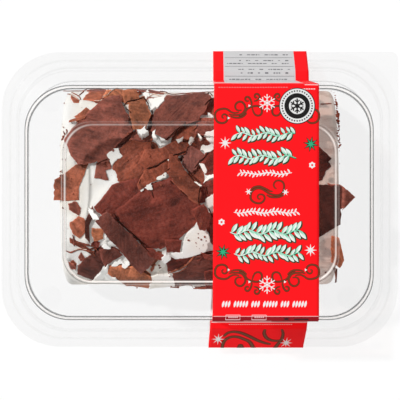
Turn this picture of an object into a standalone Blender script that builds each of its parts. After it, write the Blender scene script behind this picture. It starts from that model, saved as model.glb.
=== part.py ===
"""Iced yule log cake in its shut clear pack, held by a printed paper band.

Frame: metres, +Z up, +X along the log, the origin under the middle of the pack on the surface
that it stands on.  The pack is a shallow clear tray and a tall clear lid; the band goes round
both.  The log is whole and solid, D-shaped in section, and broken chocolate shards lie on its
icing.  Places on the icing are written as (along, round): the distance along the log from its
middle, and the distance round it from its crown, positive towards +Y.
"""

import math

import bmesh
import bpy
import numpy as np

MM = 0.001
GAP = 0.3 * MM                    # clearance that touching pieces keep

# Pack: every moulded ring is the flange's edge moved inwards by an inset.
PACK_HALF_X = 138.3 * MM
PACK_HALF_Y = 102.8 * MM
EDGE_RADIUS = 41.0 * MM           # corner radius of the flange's edge
RIM_INSET = 29.8 * MM             # from the flange's edge to the lid's top rim
RIM_RADIUS = 28.0 * MM            # corner radius of the lid's top rim
TAB_RADIUS = 5.0 * MM             # the corner of the tray that is left nearly square as a pull tab
CORNER_STEPS = 7                  # facets in each rounded corner
LID_TOP = 90.0 * MM
PANEL_DROP = 3.5 * MM             # the lid's middle panel lies this much lower than its top
WALL_FOOT = 32.0 * MM             # height where the lid's tall wall meets its shoulder
LID_THICKNESS = 0.6 * MM
TRAY_THICKNESS = 0.8 * MM
TRAY_FLOOR = 1.5 * MM             # upper face of the tray's floor
FLANGE_TOP = 15.2 * MM            # upper face of the tray's flange
FOOT_RADIUS = 8.0 * MM
FOOT_SIDES = 16
FOOT_X = 106.0 * MM
FOOT_Y = 70.0 * MM

# Band
BAND_THICKNESS = 0.4 * MM
BAND_LEFT = 8.3 * MM
BAND_RIGHT = 74.3 * MM
BAND_SKEW = 2.2 * MM              # it drifts this far towards -X where it goes down at -Y

# Log
LOG_HALF_LENGTH = 90.0 * MM
LOG_HALF_WIDTH = 66.0 * MM
LOG_MIDDLE_Y = 8.0 * MM
LOG_WAIST = 24.0 * MM             # height where the log is widest
LOG_CROWN = 70.0 * MM
CROWN_EXPONENT = 2.3              # roundness of the upper half of the section
BASE_EXPONENT = 3.4               # squarer lower half
LOG_FACETS = 46
LOG_STATIONS = 13
END_ROUNDING = 4.5 * MM
SWELL = 0.7 * MM                  # how far the icing rises and falls

# Shards
SHARD_THICKNESS = 0.9 * MM
SHARD_CLEARANCE = 0.65 * MM       # between a shard and what it lies on, facets allowed for
SHARD_SPACING = 7.0 * MM          # longest facet along a broken edge
SHARD_JAG = 0.6 * MM              # unevenness of a broken edge
SHARD_CURL = 1.0 * MM             # rise of a large shard's edges over its middle
SHARD_TILT = 0.14                 # steepest slope of a shard against the icing under it
LARGE_SHARD = 13.0 * MM           # mean radius from which a shard gets one more ring of facets

TONES = {
    "tan": (0.38, 0.17, 0.10),
    "milk": (0.33, 0.11, 0.06),
    "russet": (0.29, 0.10, 0.075),
    "brown": (0.19, 0.065, 0.045),
    "bloom": (0.24, 0.11, 0.095),
    "dark": (0.14, 0.037, 0.030),
    "bitter": (0.09, 0.035, 0.030),
}

# Each shard: its tone and the corners of its broken outline, (along, round) in millimetres,
# in the order in which the shards fell on the icing.
SHARDS = (
    ("milk", ((-74, 56), (-68, 50), (-78, 43), (-82, 48))),
    ("milk", ((-93, 6), (-85, 11), (-79, 16), (-71, 17), (-75, 6), (-77, 0), (-77, -7), (-93, -7))),
    ("russet", ((-66, 17), (-57, 18), (-56, 13), (-60, 12), (-58, 6), (-67, 7))),
    ("russet", ((-84, -9), (-79, -7), (-75, -12), (-77, -17), (-83, -13))),
    ("milk", ((-83, -21), (-77, -17), (-73, -19), (-71, -26), (-77, -31), (-82, -27))),
    ("tan", ((-69, -24), (-61, -25), (-61, -31), (-68, -33))),
    ("brown", ((-17, 37), (-9, 44), (1, 44), (-3, 31), (-18, 29))),
    ("russet", ((-1, 45), (16, 46), (17, 36), (5, 33), (-3, 34))),
    ("brown", ((2, 69), (22, 71), (20, 48), (1, 50))),
    ("milk", ((-77, 64), (-73, 73), (-58, 73), (-62, 62), (-70, 62))),
    ("tan", ((-62, 71), (-42, 74), (-41, 65), (-50, 60), (-63, 63))),
    ("brown", ((-44, 31), (-51, 25), (-55, 16), (-52, 6), (-46, 2), (-36, 6), (-31, 15), (-31, 29))),
    ("russet", ((-24, 68), (3, 69), (8, 61), (0, 42), (-9, 40), (-20, 29), (-31, 36), (-29, 50))),
    ("russet", ((-87, 31), (-81, 39), (-62, 60), (-52, 61), (-42, 36), (-53, 26), (-58, 17),
                (-77, 15), (-82, 22))),
    ("tan", ((-51, 61), (-42, 65), (-39, 57), (-48, 52))),
    ("tan", ((-46, 52), (-36, 59), (-31, 46), (-34, 36), (-42, 35))),
    ("brown", ((-5, 16), (1, 17), (4, 4), (-3, 4), (-8, 12))),
    ("bloom", ((-10, 29), (-4, 27), (4, 21), (0, 15), (-5, 10), (-11, 15))),
    ("dark", ((15, 28), (4, 22), (1, 16), (4, 9), (17, 8))),
    ("dark", ((1, 3), (13, 9), (16, -3), (5, -8), (-1, -9))),
    ("brown", ((-35, 24), (-24, 25), (-14, 30), (-7, 28), (-9, 22), (-33, 11), (-38, 16))),
    ("dark", ((-56, 3), (-38, 7), (-30, 3), (-28, -7), (-38, -17), (-52, -22), (-63, -16), (-67, -11))),
    ("dark", ((-30, 4), (-18, 7), (-4, -5), (1, -9), (0, -20), (-13, -31), (-24, -37), (-35, -36),
              (-50, -20), (-52, -12))),
    ("brown", ((-34, 12), (-20, 17), (-19, 10), (-37, 0), (-39, 3))),
    ("brown", ((-19, 21), (-14, 20), (-9, 12), (1, 2), (0, -9), (-6, -6), (-20, 10))),
    ("dark", ((-22, -30), (-11, -31), (-12, -40), (-21, -39))),
    ("dark", ((5, -15), (18, -14), (17, -40), (7, -32))),
    ("dark", ((-5, -12), (3, -8), (8, -16), (4, -24), (0, -23))),
    ("bitter", ((-75, -46), (-69, -41), (-62, -37), (-61, -49), (-70, -66), (-80, -58), (-79, -50))),
    ("tan", ((-59, -49), (-42, -50), (-32, -58), (-32, -71), (-49, -69), (-60, -56))),
    ("bitter", ((-64, -37), (-54, -37), (-49, -42), (-61, -49))),
    ("bitter", ((-58, -13), (-66, -19), (-38, -54), (-28, -41))),
    ("dark", ((-22, -45), (-6, -43), (-2, -41), (-10, -52), (-21, -57))),
    ("bitter", ((-4, -44), (14, -40), (16, -70), (-18, -70), (-17, -58), (-9, -52))),
    ("dark", ((3, -52), (20, -51), (19, -68), (4, -68))),
    ("russet", ((82, 4), (90, 3), (100, -5), (93, -12), (84, -16))),
    ("dark", ((68, 32), (78, 26), (84, 20), (84, 14), (79, 10), (68, 4))),
    ("bitter", ((63, 2), (90, 3), (90, -22), (64, -39))),
    ("tan", ((85, -30), (90, -31), (94, -47), (92, -53), (86, -48))),
    ("russet", ((-3, -75), (16, -74), (14, -90), (3, -91))),
    ("russet", ((24, 62), (48, 66), (51, 44), (33, 36), (22, 46))),
    ("brown", ((27, 30), (52, 33), (56, 13), (38, 8), (24, 16))),
    ("dark", ((24, 2), (44, 5), (55, -8), (46, -26), (27, -24))),
    ("milk", ((30, -34), (52, -36), (50, -52), (33, -55))),
)


def clear_scene():
    for obj in list(bpy.data.objects):
        bpy.data.objects.remove(obj, do_unlink=True)


def material(name, colour, roughness, alpha=1.0):
    """A Principled material of one plain colour."""
    made = bpy.data.materials.new(name)
    made.use_nodes = True
    shader = made.node_tree.nodes["Principled BSDF"]
    shader.inputs["Base Color"].default_value = (*colour, 1.0)
    shader.inputs["Roughness"].default_value = roughness
    shader.inputs["Metallic"].default_value = 0.0
    shader.inputs["Alpha"].default_value = alpha
    return made


def add_object(name, points, faces, made_material):
    """One named object whose closed mesh has its faces turned outwards."""
    mesh = bpy.data.meshes.new(name)
    mesh.from_pydata([tuple(map(float, point)) for point in points], [], faces)
    work = bmesh.new()
    work.from_mesh(mesh)
    bmesh.ops.recalc_face_normals(work, faces=work.faces)
    work.to_mesh(mesh)
    work.free()
    mesh.materials.append(made_material)
    obj = bpy.data.objects.new(name, mesh)
    bpy.context.scene.collection.objects.link(obj)
    return obj


def bridge_loops(count, size, closed=False):
    """Quads between each loop of points and the next; a closed stack also joins last to first."""
    faces = []
    last = count if closed else count - 1
    for loop in range(last):
        here = loop * size
        there = (loop + 1) % count * size
        for step in range(size):
            after = (step + 1) % size
            faces.append((here + step, here + after, there + after, there + step))
    return faces


def offset_path(points, distance, closed=False):
    """The path moved to the left of its direction of travel, with mitred corners."""
    path = np.array(points, dtype=float)
    ahead = np.roll(path, -1, axis=0) - path
    behind = path - np.roll(path, 1, axis=0)
    if not closed:
        ahead[-1] = behind[-1]
        behind[0] = ahead[0]
    left_ahead = np.column_stack((-ahead[:, 1], ahead[:, 0])) / np.linalg.norm(ahead, axis=1)[:, None]
    left_behind = np.column_stack((-behind[:, 1], behind[:, 0])) / np.linalg.norm(behind, axis=1)[:, None]
    middle = left_ahead + left_behind
    middle /= np.linalg.norm(middle, axis=1)[:, None]
    mitre = np.sum(middle * left_ahead, axis=1)[:, None]
    return path + distance * middle / mitre


# ---------------------------------------------------------------- pack

def lid_profile():
    """Upper face of the lid as (inset, height), from its middle panel out to its edge."""
    millimetres = (
        (53.6, -0.0), (52.9, 0.5), (50.9, 2.9), (50.0, 3.5),
    )
    panel = [(inset * MM, LID_TOP - PANEL_DROP + rise * MM) for inset, rise in millimetres]
    rim = [
        (RIM_INSET + 2.2 * MM, LID_TOP),
        (RIM_INSET + 0.6 * MM, LID_TOP - 0.6 * MM),
        (RIM_INSET, LID_TOP - 2.2 * MM),
    ]
    shoulder = [
        (22.6 * MM, WALL_FOOT + 1.5 * MM),
        (21.9 * MM, WALL_FOOT - 0.4 * MM),
        (20.2 * MM, WALL_FOOT - 1.2 * MM),
        (16.0 * MM, WALL_FOOT - 2.0 * MM),
        (14.5 * MM, WALL_FOOT - 3.4 * MM),
        (12.8 * MM, WALL_FOOT - 9.5 * MM),
        (11.0 * MM, WALL_FOOT - 10.8 * MM),
        (8.2 * MM, WALL_FOOT - 11.2 * MM),
        (7.2 * MM, WALL_FOOT - 12.2 * MM),
    ]
    flange_height = FLANGE_TOP + GAP + LID_THICKNESS
    flange = [(6.2 * MM, flange_height + 0.5 * MM), (5.2 * MM, flange_height), (0.9 * MM, flange_height)]
    return panel + rim + shoulder + flange


def tray_profile():
    """Upper face of the tray as (inset, height), from its floor out to its edge."""
    return [
        (10.6 * MM, TRAY_FLOOR),
        (9.4 * MM, TRAY_FLOOR + 0.8 * MM),
        (6.2 * MM, FLANGE_TOP - 0.9 * MM),
        (5.2 * MM, FLANGE_TOP),
        (0.0, FLANGE_TOP),
    ]


def pack_ring(inset, height, square_corner=False):
    """Points round the pack at one inset: a rounded rectangle, counter-clockwise from +X."""
    radius = EDGE_RADIUS - (EDGE_RADIUS - RIM_RADIUS) * inset / RIM_INSET
    ring = []
    for corner, (side_x, side_y) in enumerate(((1, 1), (-1, 1), (-1, -1), (1, -1))):
        bend = TAB_RADIUS if square_corner and corner == 0 else radius
        centre_x = side_x * (PACK_HALF_X - inset - bend)
        centre_y = side_y * (PACK_HALF_Y - inset - bend)
        for step in range(CORNER_STEPS + 1):
            angle = math.radians(90.0 * (corner + step / CORNER_STEPS))
            ring.append((centre_x + bend * math.cos(angle), centre_y + bend * math.sin(angle), height))
    return ring


def moulded_shell(name, upper, thickness, made_material, tab=False):
    """A thin moulded sheet: its upper profile carried round the pack, and back along its lower face."""
    outward = [(-inset, height) for inset, height in upper]
    lower = [(-reach, height) for reach, height in offset_path(outward, -thickness)]
    profile = list(upper) + lower[::-1]
    edge = (len(upper) - 1, len(upper))
    points = []
    for index, (inset, height) in enumerate(profile):
        points += pack_ring(inset, height, tab and index in edge)
    size = 4 * (CORNER_STEPS + 1)
    count = len(profile)
    faces = bridge_loops(count, size)
    faces.append(tuple(range(size)))
    faces.append(tuple(range((count - 1) * size, count * size)))
    return add_object(name, points, faces, made_material)


def add_feet(tray):
    """Four low round feet under the tray's floor, level with the band's underside, joined to it."""
    low = TRAY_FLOOR - TRAY_THICKNESS - GAP - BAND_THICKNESS
    depth = TRAY_FLOOR - TRAY_THICKNESS / 2 - low
    for side_x in (1, -1):
        for side_y in (1, -1):
            bpy.ops.mesh.primitive_cone_add(
                vertices=FOOT_SIDES, radius1=FOOT_RADIUS - depth, radius2=FOOT_RADIUS, depth=depth,
                location=(side_x * FOOT_X, side_y * FOOT_Y, low + depth / 2))
            foot = bpy.context.active_object
            foot.name = "foot_cutter"
            foot.hide_render = True
            foot.display_type = "WIRE"
            union = tray.modifiers.new("foot", "BOOLEAN")
            union.operation = "UNION"
            union.solver = "EXACT"
            union.object = foot


def band_path():
    """Line that the band hugs, as (y, height): over the lid, the shoulder, the edge and the tray."""
    top = [(0.0, LID_TOP), (70.6 * MM, LID_TOP), (72.4 * MM, LID_TOP - 0.6 * MM), (73.1 * MM, LID_TOP - 2.2 * MM)]
    side = [
        (80.2 * MM, WALL_FOOT + 1.5 * MM),
        (81.2 * MM, WALL_FOOT - 0.2 * MM),
        (83.0 * MM, WALL_FOOT - 1.1 * MM),
        (87.0 * MM, WALL_FOOT - 1.9 * MM),
        (PACK_HALF_Y - 0.9 * MM, FLANGE_TOP + GAP + LID_THICKNESS),
        (PACK_HALF_Y, FLANGE_TOP),
        (PACK_HALF_Y, FLANGE_TOP - TRAY_THICKNESS),
        (PACK_HALF_Y - 9.8 * MM, TRAY_FLOOR - TRAY_THICKNESS),
    ]
    half = top + side
    other = [(-y, height) for y, height in half[:0:-1]]
    return half + [(0.0, TRAY_FLOOR - TRAY_THICKNESS)] + other


def add_band(made_material):
    """The paper band: a closed strip of even thickness round the whole pack."""
    path = band_path()
    inner = offset_path(path, GAP, closed=True)
    outer = offset_path(path, GAP + BAND_THICKNESS, closed=True)
    points = []
    for (y_in, z_in), (y_out, z_out) in zip(inner, outer):
        drift = -BAND_SKEW * min(1.0, max(0.0, (-y_out - 70.0 * MM) / (30.0 * MM)))
        left = BAND_LEFT + drift
        right = BAND_RIGHT + drift
        points += [(left, y_in, z_in), (right, y_in, z_in), (right, y_out, z_out), (left, y_out, z_out)]
    return add_object("paper_band", points, bridge_loops(len(path), 4, closed=True), made_material)


# ---------------------------------------------------------------- log

def log_section(angle):
    """Section of the log: two half superellipses that meet at the waist, flatter below."""
    cosine = np.cos(angle)
    sine = np.sin(angle)
    exponent = np.where(sine >= 0.0, CROWN_EXPONENT, BASE_EXPONENT)
    reach = np.where(sine >= 0.0, LOG_CROWN - LOG_WAIST, LOG_WAIST - TRAY_FLOOR - GAP)
    y = LOG_MIDDLE_Y + LOG_HALF_WIDTH * np.sign(cosine) * np.abs(cosine) ** (2.0 / exponent)
    z = LOG_WAIST + reach * np.sign(sine) * np.abs(sine) ** (2.0 / exponent)
    return y, z


# Round-the-log distances, measured once: from the crown towards +Y they are positive.
TURN = np.linspace(-math.pi / 2, 3 * math.pi / 2, 2881)
TURN_Y, TURN_Z = log_section(TURN)
TURN_ARC = np.concatenate(([0.0], np.cumsum(np.hypot(np.diff(TURN_Y), np.diff(TURN_Z)))))
ROUND = np.interp(math.pi / 2, TURN, TURN_ARC) - TURN_ARC


def swell(along, around):
    """Gentle rise and fall of the spread icing."""
    return SWELL * (np.sin(along / 0.021 + 1.3) * np.sin(around / 0.017 + 0.4)
                    + 0.5 * np.sin(along / 0.0093) * np.cos(around / 0.011))


def on_log(along, around, lift):
    """Point that stands off the bare section by lift, square to it, at (along, round)."""
    order = ROUND[::-1]
    y = np.interp(around, order, TURN_Y[::-1])
    z = np.interp(around, order, TURN_Z[::-1])
    step = 0.5 * MM
    run_y = np.interp(around + step, order, TURN_Y[::-1]) - np.interp(around - step, order, TURN_Y[::-1])
    run_z = np.interp(around + step, order, TURN_Z[::-1]) - np.interp(around - step, order, TURN_Z[::-1])
    length = np.hypot(run_y, run_z)
    return np.stack(np.broadcast_arrays(
        along, y - lift * run_z / length, z + lift * run_y / length), axis=-1)


def add_log(made_material):
    """The whole iced log: its section carried from end to end, drawn in at the rounded ends."""
    facets = np.linspace(0.0, 2.0 * math.pi, LOG_FACETS, endpoint=False)
    y, z = log_section(facets)
    around = np.interp(facets, TURN[720:], ROUND[720:])
    around = np.where(facets > 1.5 * math.pi, np.interp(facets - 2 * math.pi, TURN, ROUND), around)
    spread = np.linspace(-1.0, 1.0, LOG_STATIONS)
    inner = LOG_HALF_LENGTH - END_ROUNDING
    stations = [(-LOG_HALF_LENGTH, END_ROUNDING), (-LOG_HALF_LENGTH + 1.0 * MM, END_ROUNDING * 0.45)]
    stations += [(position * inner, 0.0) for position in spread]
    stations += [(LOG_HALF_LENGTH - 1.0 * MM, END_ROUNDING * 0.45), (LOG_HALF_LENGTH, END_ROUNDING)]
    points = []
    middle_z = LOG_WAIST
    for along, shrink in stations:
        rise = np.where(z > LOG_WAIST / 2, swell(along, around), 0.0) - shrink
        lean_y = (y - LOG_MIDDLE_Y) / LOG_HALF_WIDTH
        lean_z = (z - middle_z) / (LOG_CROWN - LOG_WAIST)
        size = np.hypot(lean_y, lean_z)
        floor = TRAY_FLOOR + GAP
        ring_z = np.maximum(z + rise * lean_z / size, floor)
        points += list(zip(np.full(LOG_FACETS, along), y + rise * lean_y / size, ring_z))
    count = len(stations)
    faces = bridge_loops(count, LOG_FACETS)
    faces.append(tuple(range(LOG_FACETS)))
    faces.append(tuple(range((count - 1) * LOG_FACETS, count * LOG_FACETS)))
    return add_object("iced_log", points, faces, made_material)


# ---------------------------------------------------------------- shards

def inside(outline, along, around):
    """Which places lie inside an outline, by counting the edges that a ray crosses."""
    found = np.zeros(np.shape(along), dtype=bool)
    for (x0, s0), (x1, s1) in zip(outline, np.roll(outline, -1, axis=0)):
        if s0 == s1:
            continue
        crosses = (around >= min(s0, s1)) & (around < max(s0, s1))
        found ^= crosses & (along < x0 + (around - s0) * (x1 - x0) / (s1 - s0))
    return found


class Icing:
    """What lies on the log so far, as a height over the bare section on a 1 mm grid."""

    def __init__(self):
        reach = np.arange(-0.106, 0.1061, 1.0 * MM)
        turn = np.arange(-0.115, 0.1151, 1.0 * MM)
        self.along, self.around = np.meshgrid(reach, turn, indexing="ij")
        self.height = swell(self.along, self.around)
        self.carries = np.abs(self.along) < LOG_HALF_LENGTH - 1.0 * MM

    def lay(self, outline):
        """Lower a stiff shard on to what is there and return its lift as a function of place."""
        centre = outline.mean(axis=0)
        radius = np.linalg.norm(outline - centre, axis=1).mean()
        grown = centre + (outline - centre) * (1.0 + 1.6 * MM / radius)
        covered = inside(grown, self.along, self.around)
        under = covered & self.carries
        d_along = self.along[under] - centre[0]
        d_around = self.around[under] - centre[1]
        table = np.column_stack((d_along, d_around, np.ones_like(d_along)))
        slope_x, slope_s, _ = np.linalg.lstsq(table, self.height[under], rcond=None)[0]
        slope_x = float(np.clip(slope_x, -SHARD_TILT, SHARD_TILT))
        slope_s = float(np.clip(slope_s, -SHARD_TILT, SHARD_TILT))

        def shape(along, around):
            away = np.hypot(along - centre[0], around - centre[1]) / (20.0 * MM)
            plane = slope_x * (along - centre[0]) + slope_s * (around - centre[1])
            return plane + SHARD_CURL * away ** 2

        rest = np.max(self.height[under] - shape(self.along[under], self.around[under]))
        rest += SHARD_CLEARANCE
        self.height[covered] = np.maximum(
            self.height[covered], shape(self.along[covered], self.around[covered]) + rest + SHARD_THICKNESS)
        return lambda along, around: shape(along, around) + rest


def broken_outline(corners, seed):
    """The outline's edges cut into short facets, each moved a little off its line."""
    random = np.random.default_rng(seed)
    points = []
    for start, end in zip(corners, np.roll(corners, -1, axis=0)):
        length = np.linalg.norm(end - start)
        pieces = max(1, round(length / SHARD_SPACING))
        normal = np.array((end[1] - start[1], start[0] - end[0])) / length
        for piece in range(pieces):
            jag = random.uniform(-SHARD_JAG, SHARD_JAG) if piece else 0.0
            points.append(start + (end - start) * piece / pieces + normal * jag)
    return np.array(points)


def add_shard(name, outline, lift, made_material):
    """A thin plate over the outline: rings from its middle to its edge above, and back below."""
    centre = outline.mean(axis=0)
    radius = np.linalg.norm(outline - centre, axis=1).mean()
    shares = (0.34, 0.68, 1.0) if radius > LARGE_SHARD else (0.55, 1.0)
    loops = [(share, SHARD_THICKNESS) for share in shares] + [(share, 0.0) for share in shares[::-1]]
    size = len(outline)
    points = []
    for share, rise in loops:
        place = centre + (outline - centre) * share
        points += list(on_log(place[:, 0], place[:, 1], lift(place[:, 0], place[:, 1]) + rise))
    faces = bridge_loops(len(loops), size)
    for rise, first in ((SHARD_THICKNESS, 0), (0.0, (len(loops) - 1) * size)):
        middle = len(points)
        points.append(on_log(centre[0], centre[1], lift(*centre) + rise))
        faces += [(middle, first + step, first + (step + 1) % size) for step in range(size)]
    return add_object(name, points, faces, made_material)


def main():
    clear_scene()
    clear_lid = material("clear_lid", (0.93, 0.94, 0.94), 0.05, alpha=0.25)
    clear_tray = material("clear_tray", (0.90, 0.91, 0.91), 0.08, alpha=0.35)
    red_paper = material("red_paper", (0.95, 0.01, 0.012), 0.45)
    white_icing = material("white_icing", (0.84, 0.82, 0.76), 0.55)

    tray = moulded_shell("clear_tray", tray_profile(), TRAY_THICKNESS, clear_tray, tab=True)
    add_feet(tray)
    moulded_shell("clear_lid", lid_profile(), LID_THICKNESS, clear_lid)
    add_band(red_paper)
    add_log(white_icing)

    icing = Icing()
    for number, (tone, corners) in enumerate(SHARDS, start=1):
        outline = broken_outline(np.array(corners) * MM, seed=number)
        lift = icing.lay(outline)
        name = f"shard_{number:02d}"
        add_shard(name, outline, lift, material(name + "_" + tone, TONES[tone], 0.5))


main()
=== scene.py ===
"""Dressed model of an iced yule log with chocolate shards, shut in its clear pack with a printed band.

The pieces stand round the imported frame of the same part.  Metres, +Z up, +X along the log, the
origin under the middle of the pack on the surface that it stands on.  Places on the icing are
(along, round): the distance along the log from its middle, and the distance round it from its
crown, positive towards +Y.  Places on the band are (across, down): X, and the distance along the
band from the middle of its top, positive towards -Y.
"""

import functools
import math

import bpy
import numpy as np
from bpy.props import FloatProperty, FloatVectorProperty, IntProperty, PointerProperty
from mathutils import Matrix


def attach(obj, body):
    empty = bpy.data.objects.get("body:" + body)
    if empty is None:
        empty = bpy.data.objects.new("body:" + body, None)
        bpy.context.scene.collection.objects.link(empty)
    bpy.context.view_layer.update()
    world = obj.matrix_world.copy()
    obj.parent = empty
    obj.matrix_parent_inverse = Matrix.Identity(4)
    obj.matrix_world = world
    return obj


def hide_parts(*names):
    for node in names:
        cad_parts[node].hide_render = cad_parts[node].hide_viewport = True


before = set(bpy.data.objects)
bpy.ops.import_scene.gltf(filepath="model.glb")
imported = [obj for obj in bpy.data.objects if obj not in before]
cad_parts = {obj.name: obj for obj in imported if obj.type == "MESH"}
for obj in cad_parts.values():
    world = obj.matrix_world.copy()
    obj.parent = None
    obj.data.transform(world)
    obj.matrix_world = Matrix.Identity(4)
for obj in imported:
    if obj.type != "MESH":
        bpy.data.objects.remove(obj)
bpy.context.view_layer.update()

bl_info = {
    "name": "Iced yule log in a clear pack",
    "version": (1, 0, 0),
    "blender": (4, 5, 0),
    "location": "View3D > Sidebar > Yule log",
    "description": "Makes a packed yule log: clear pack, printed band, icing, chocolate shards and crumbs",
    "category": "Object",
}

MM = 0.001
BODY = "root"
GAP = 0.3 * MM                    # clearance that touching pieces keep

# Pack: every moulded ring is the flange's edge moved inwards by an inset.
PACK_HALF_X = 138.3 * MM
PACK_HALF_Y = 102.8 * MM
EDGE_RADIUS = 41.0 * MM
RIM_INSET = 29.8 * MM
RIM_RADIUS = 28.0 * MM
TAB_RADIUS = 5.0 * MM
TAB_INSET = 5.2 * MM              # the pull tab's corner squares off from here outwards
LID_TOP = 90.0 * MM
LID_THICKNESS = 0.6 * MM
TRAY_THICKNESS = 0.8 * MM
TRAY_FLOOR = 1.5 * MM
FOOT_PLACES = ((106, 70), (-106, 70), (-106, -70), (106, -70))
FOOT_RADIUS = 8.0 * MM
FOOT_CLEARANCE = 0.15 * MM        # the clear feet end this far above the floor
FOOT_PROFILE = (                  # share of the radius and of the depth, from the middle of the underside
    (0.2, 0.0), (0.4, 0.02), (0.6, 0.10), (0.74, 0.24), (0.86, 0.48), (0.95, 0.76), (1.0, 1.0),
    (0.8, 1.0), (0.4, 1.0),
)

# Each bend of a moulded sheet, from the middle of the pack outwards: inset, height and radius,
# in millimetres.
LID_BENDS = (
    (58.0, 86.5, 0.5),
    (55.3, 86.5, 1.0),
    (53.0, 90.0, 1.0),
    (29.9, 90.0, 2.2),
    (22.3, 31.2, 1.9),
    (15.0, 29.8, 1.6),
    (12.3, 21.4, 1.5),
    (7.5, 20.7, 1.0),
    (6.0, 16.1, 0.8),
    (0.9, 16.1, 0.0),
)
TRAY_BENDS = (
    (60.0, 1.5, 1.0),
    (10.0, 1.5, 1.3),
    (6.0, 15.2, 1.2),
    (0.0, 15.2, 0.0),
)
# Lines along the bends where the plastic bends the light away or catches it, painted on as
# shade and as a faintly glowing highlight: inset and half width in millimetres, how dark the
# painted shade is, and how white the painted highlight.
LID_MARKS = (
    (54.9, 0.24, 0.28, 0.0),
    (54.0, 0.44, 0.0, 0.95),
    (53.1, 0.24, 0.45, 0.0),
    (52.3, 0.26, 0.0, 0.30),
    (32.1, 0.40, 0.95, 0.0),
    (31.1, 0.35, 0.0, 0.60),
    (30.1, 0.42, 0.92, 0.0),
    (28.6, 0.45, 0.12, 0.0),
    (22.0, 0.45, 0.25, 0.0),
    (14.6, 0.50, 0.05, 0.0),
    (12.0, 0.50, 0.04, 0.0),
    (7.0, 0.50, 0.04, 0.0),
)
TRAY_MARKS = ((9.6, 0.6, 0.05, 0.0), (5.8, 0.5, 0.05, 0.0))
# The step's painted shade and highlight lines fade on its sides turned from the key light.
STEP_SHADE = (54.6, 2.1, 1.0)     # the step round the panel casts light aside: inset, half width, share
STEP_INSET = 45.0 * MM            # the marks further in than this belong to that step
STEP_FAINTNESS = (0.42, 0.66)     # and fade by these shares along its +X and its far side
PANEL_SHIFT = (0.7 * MM, -0.4 * MM)   # the panel sits this far off the rim's middle
MARK_STEP = 0.22 * MM
PLAIN_STEP = 3.0 * MM
BEND_STEPS = 8
CORNER_STEPS = 14

# Band: the bends of the line that it hugs, from the middle of its top: y, height and radius.
BAND_BENDS = (
    (0.0, 90.0, 0.0),
    (73.0, 90.0, 2.4),
    (80.5, 31.4, 2.0),
    (87.2, 30.1, 1.2),
    (102.6, 15.6, 0.7),
    (102.8, 14.2, 0.4),
    (93.0, 0.7, 1.0),
    (0.0, 0.7, 0.0),
)
BAND_LEFT = 8.3 * MM
BAND_RIGHT = 74.3 * MM
BAND_THICKNESS = 0.4 * MM
BAND_SKEW = 2.2 * MM
BAND_TAPER = 1.0 * MM             # how much narrower the band is at its far side
PRINT_STEP = 2.0                  # millimetres between the rings of a printed shape
INK = 0.03 * MM                   # how much each printed layer stands above the one under it

# Log
LOG_HALF_LENGTH = 90.0 * MM
LOG_HALF_WIDTH = 66.0 * MM
LOG_MIDDLE_Y = 8.0 * MM
LOG_WAIST = 24.0 * MM
LOG_CROWN = 70.0 * MM
CROWN_EXPONENT = 2.3
BASE_EXPONENT = 3.4
END_ROUNDING = 4.5 * MM
SWELL = 0.7 * MM

# Shards
SHARD_CLEARANCE = 0.25 * MM
SHARD_SPACING = 7.0 * MM
SHARD_JAG = 0.6 * MM
SHARD_CURL = 0.45 * MM
SHARD_TILT = 0.18
PRESS_GAP = 0.12 * MM             # icing stays this far under the shards that it is pressed up to
PRESS_LIMIT = 2.4 * MM            # and rises no more than this
PRESS_SPREAD = 14                 # how many millimetres the raised icing takes to fall away

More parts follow.
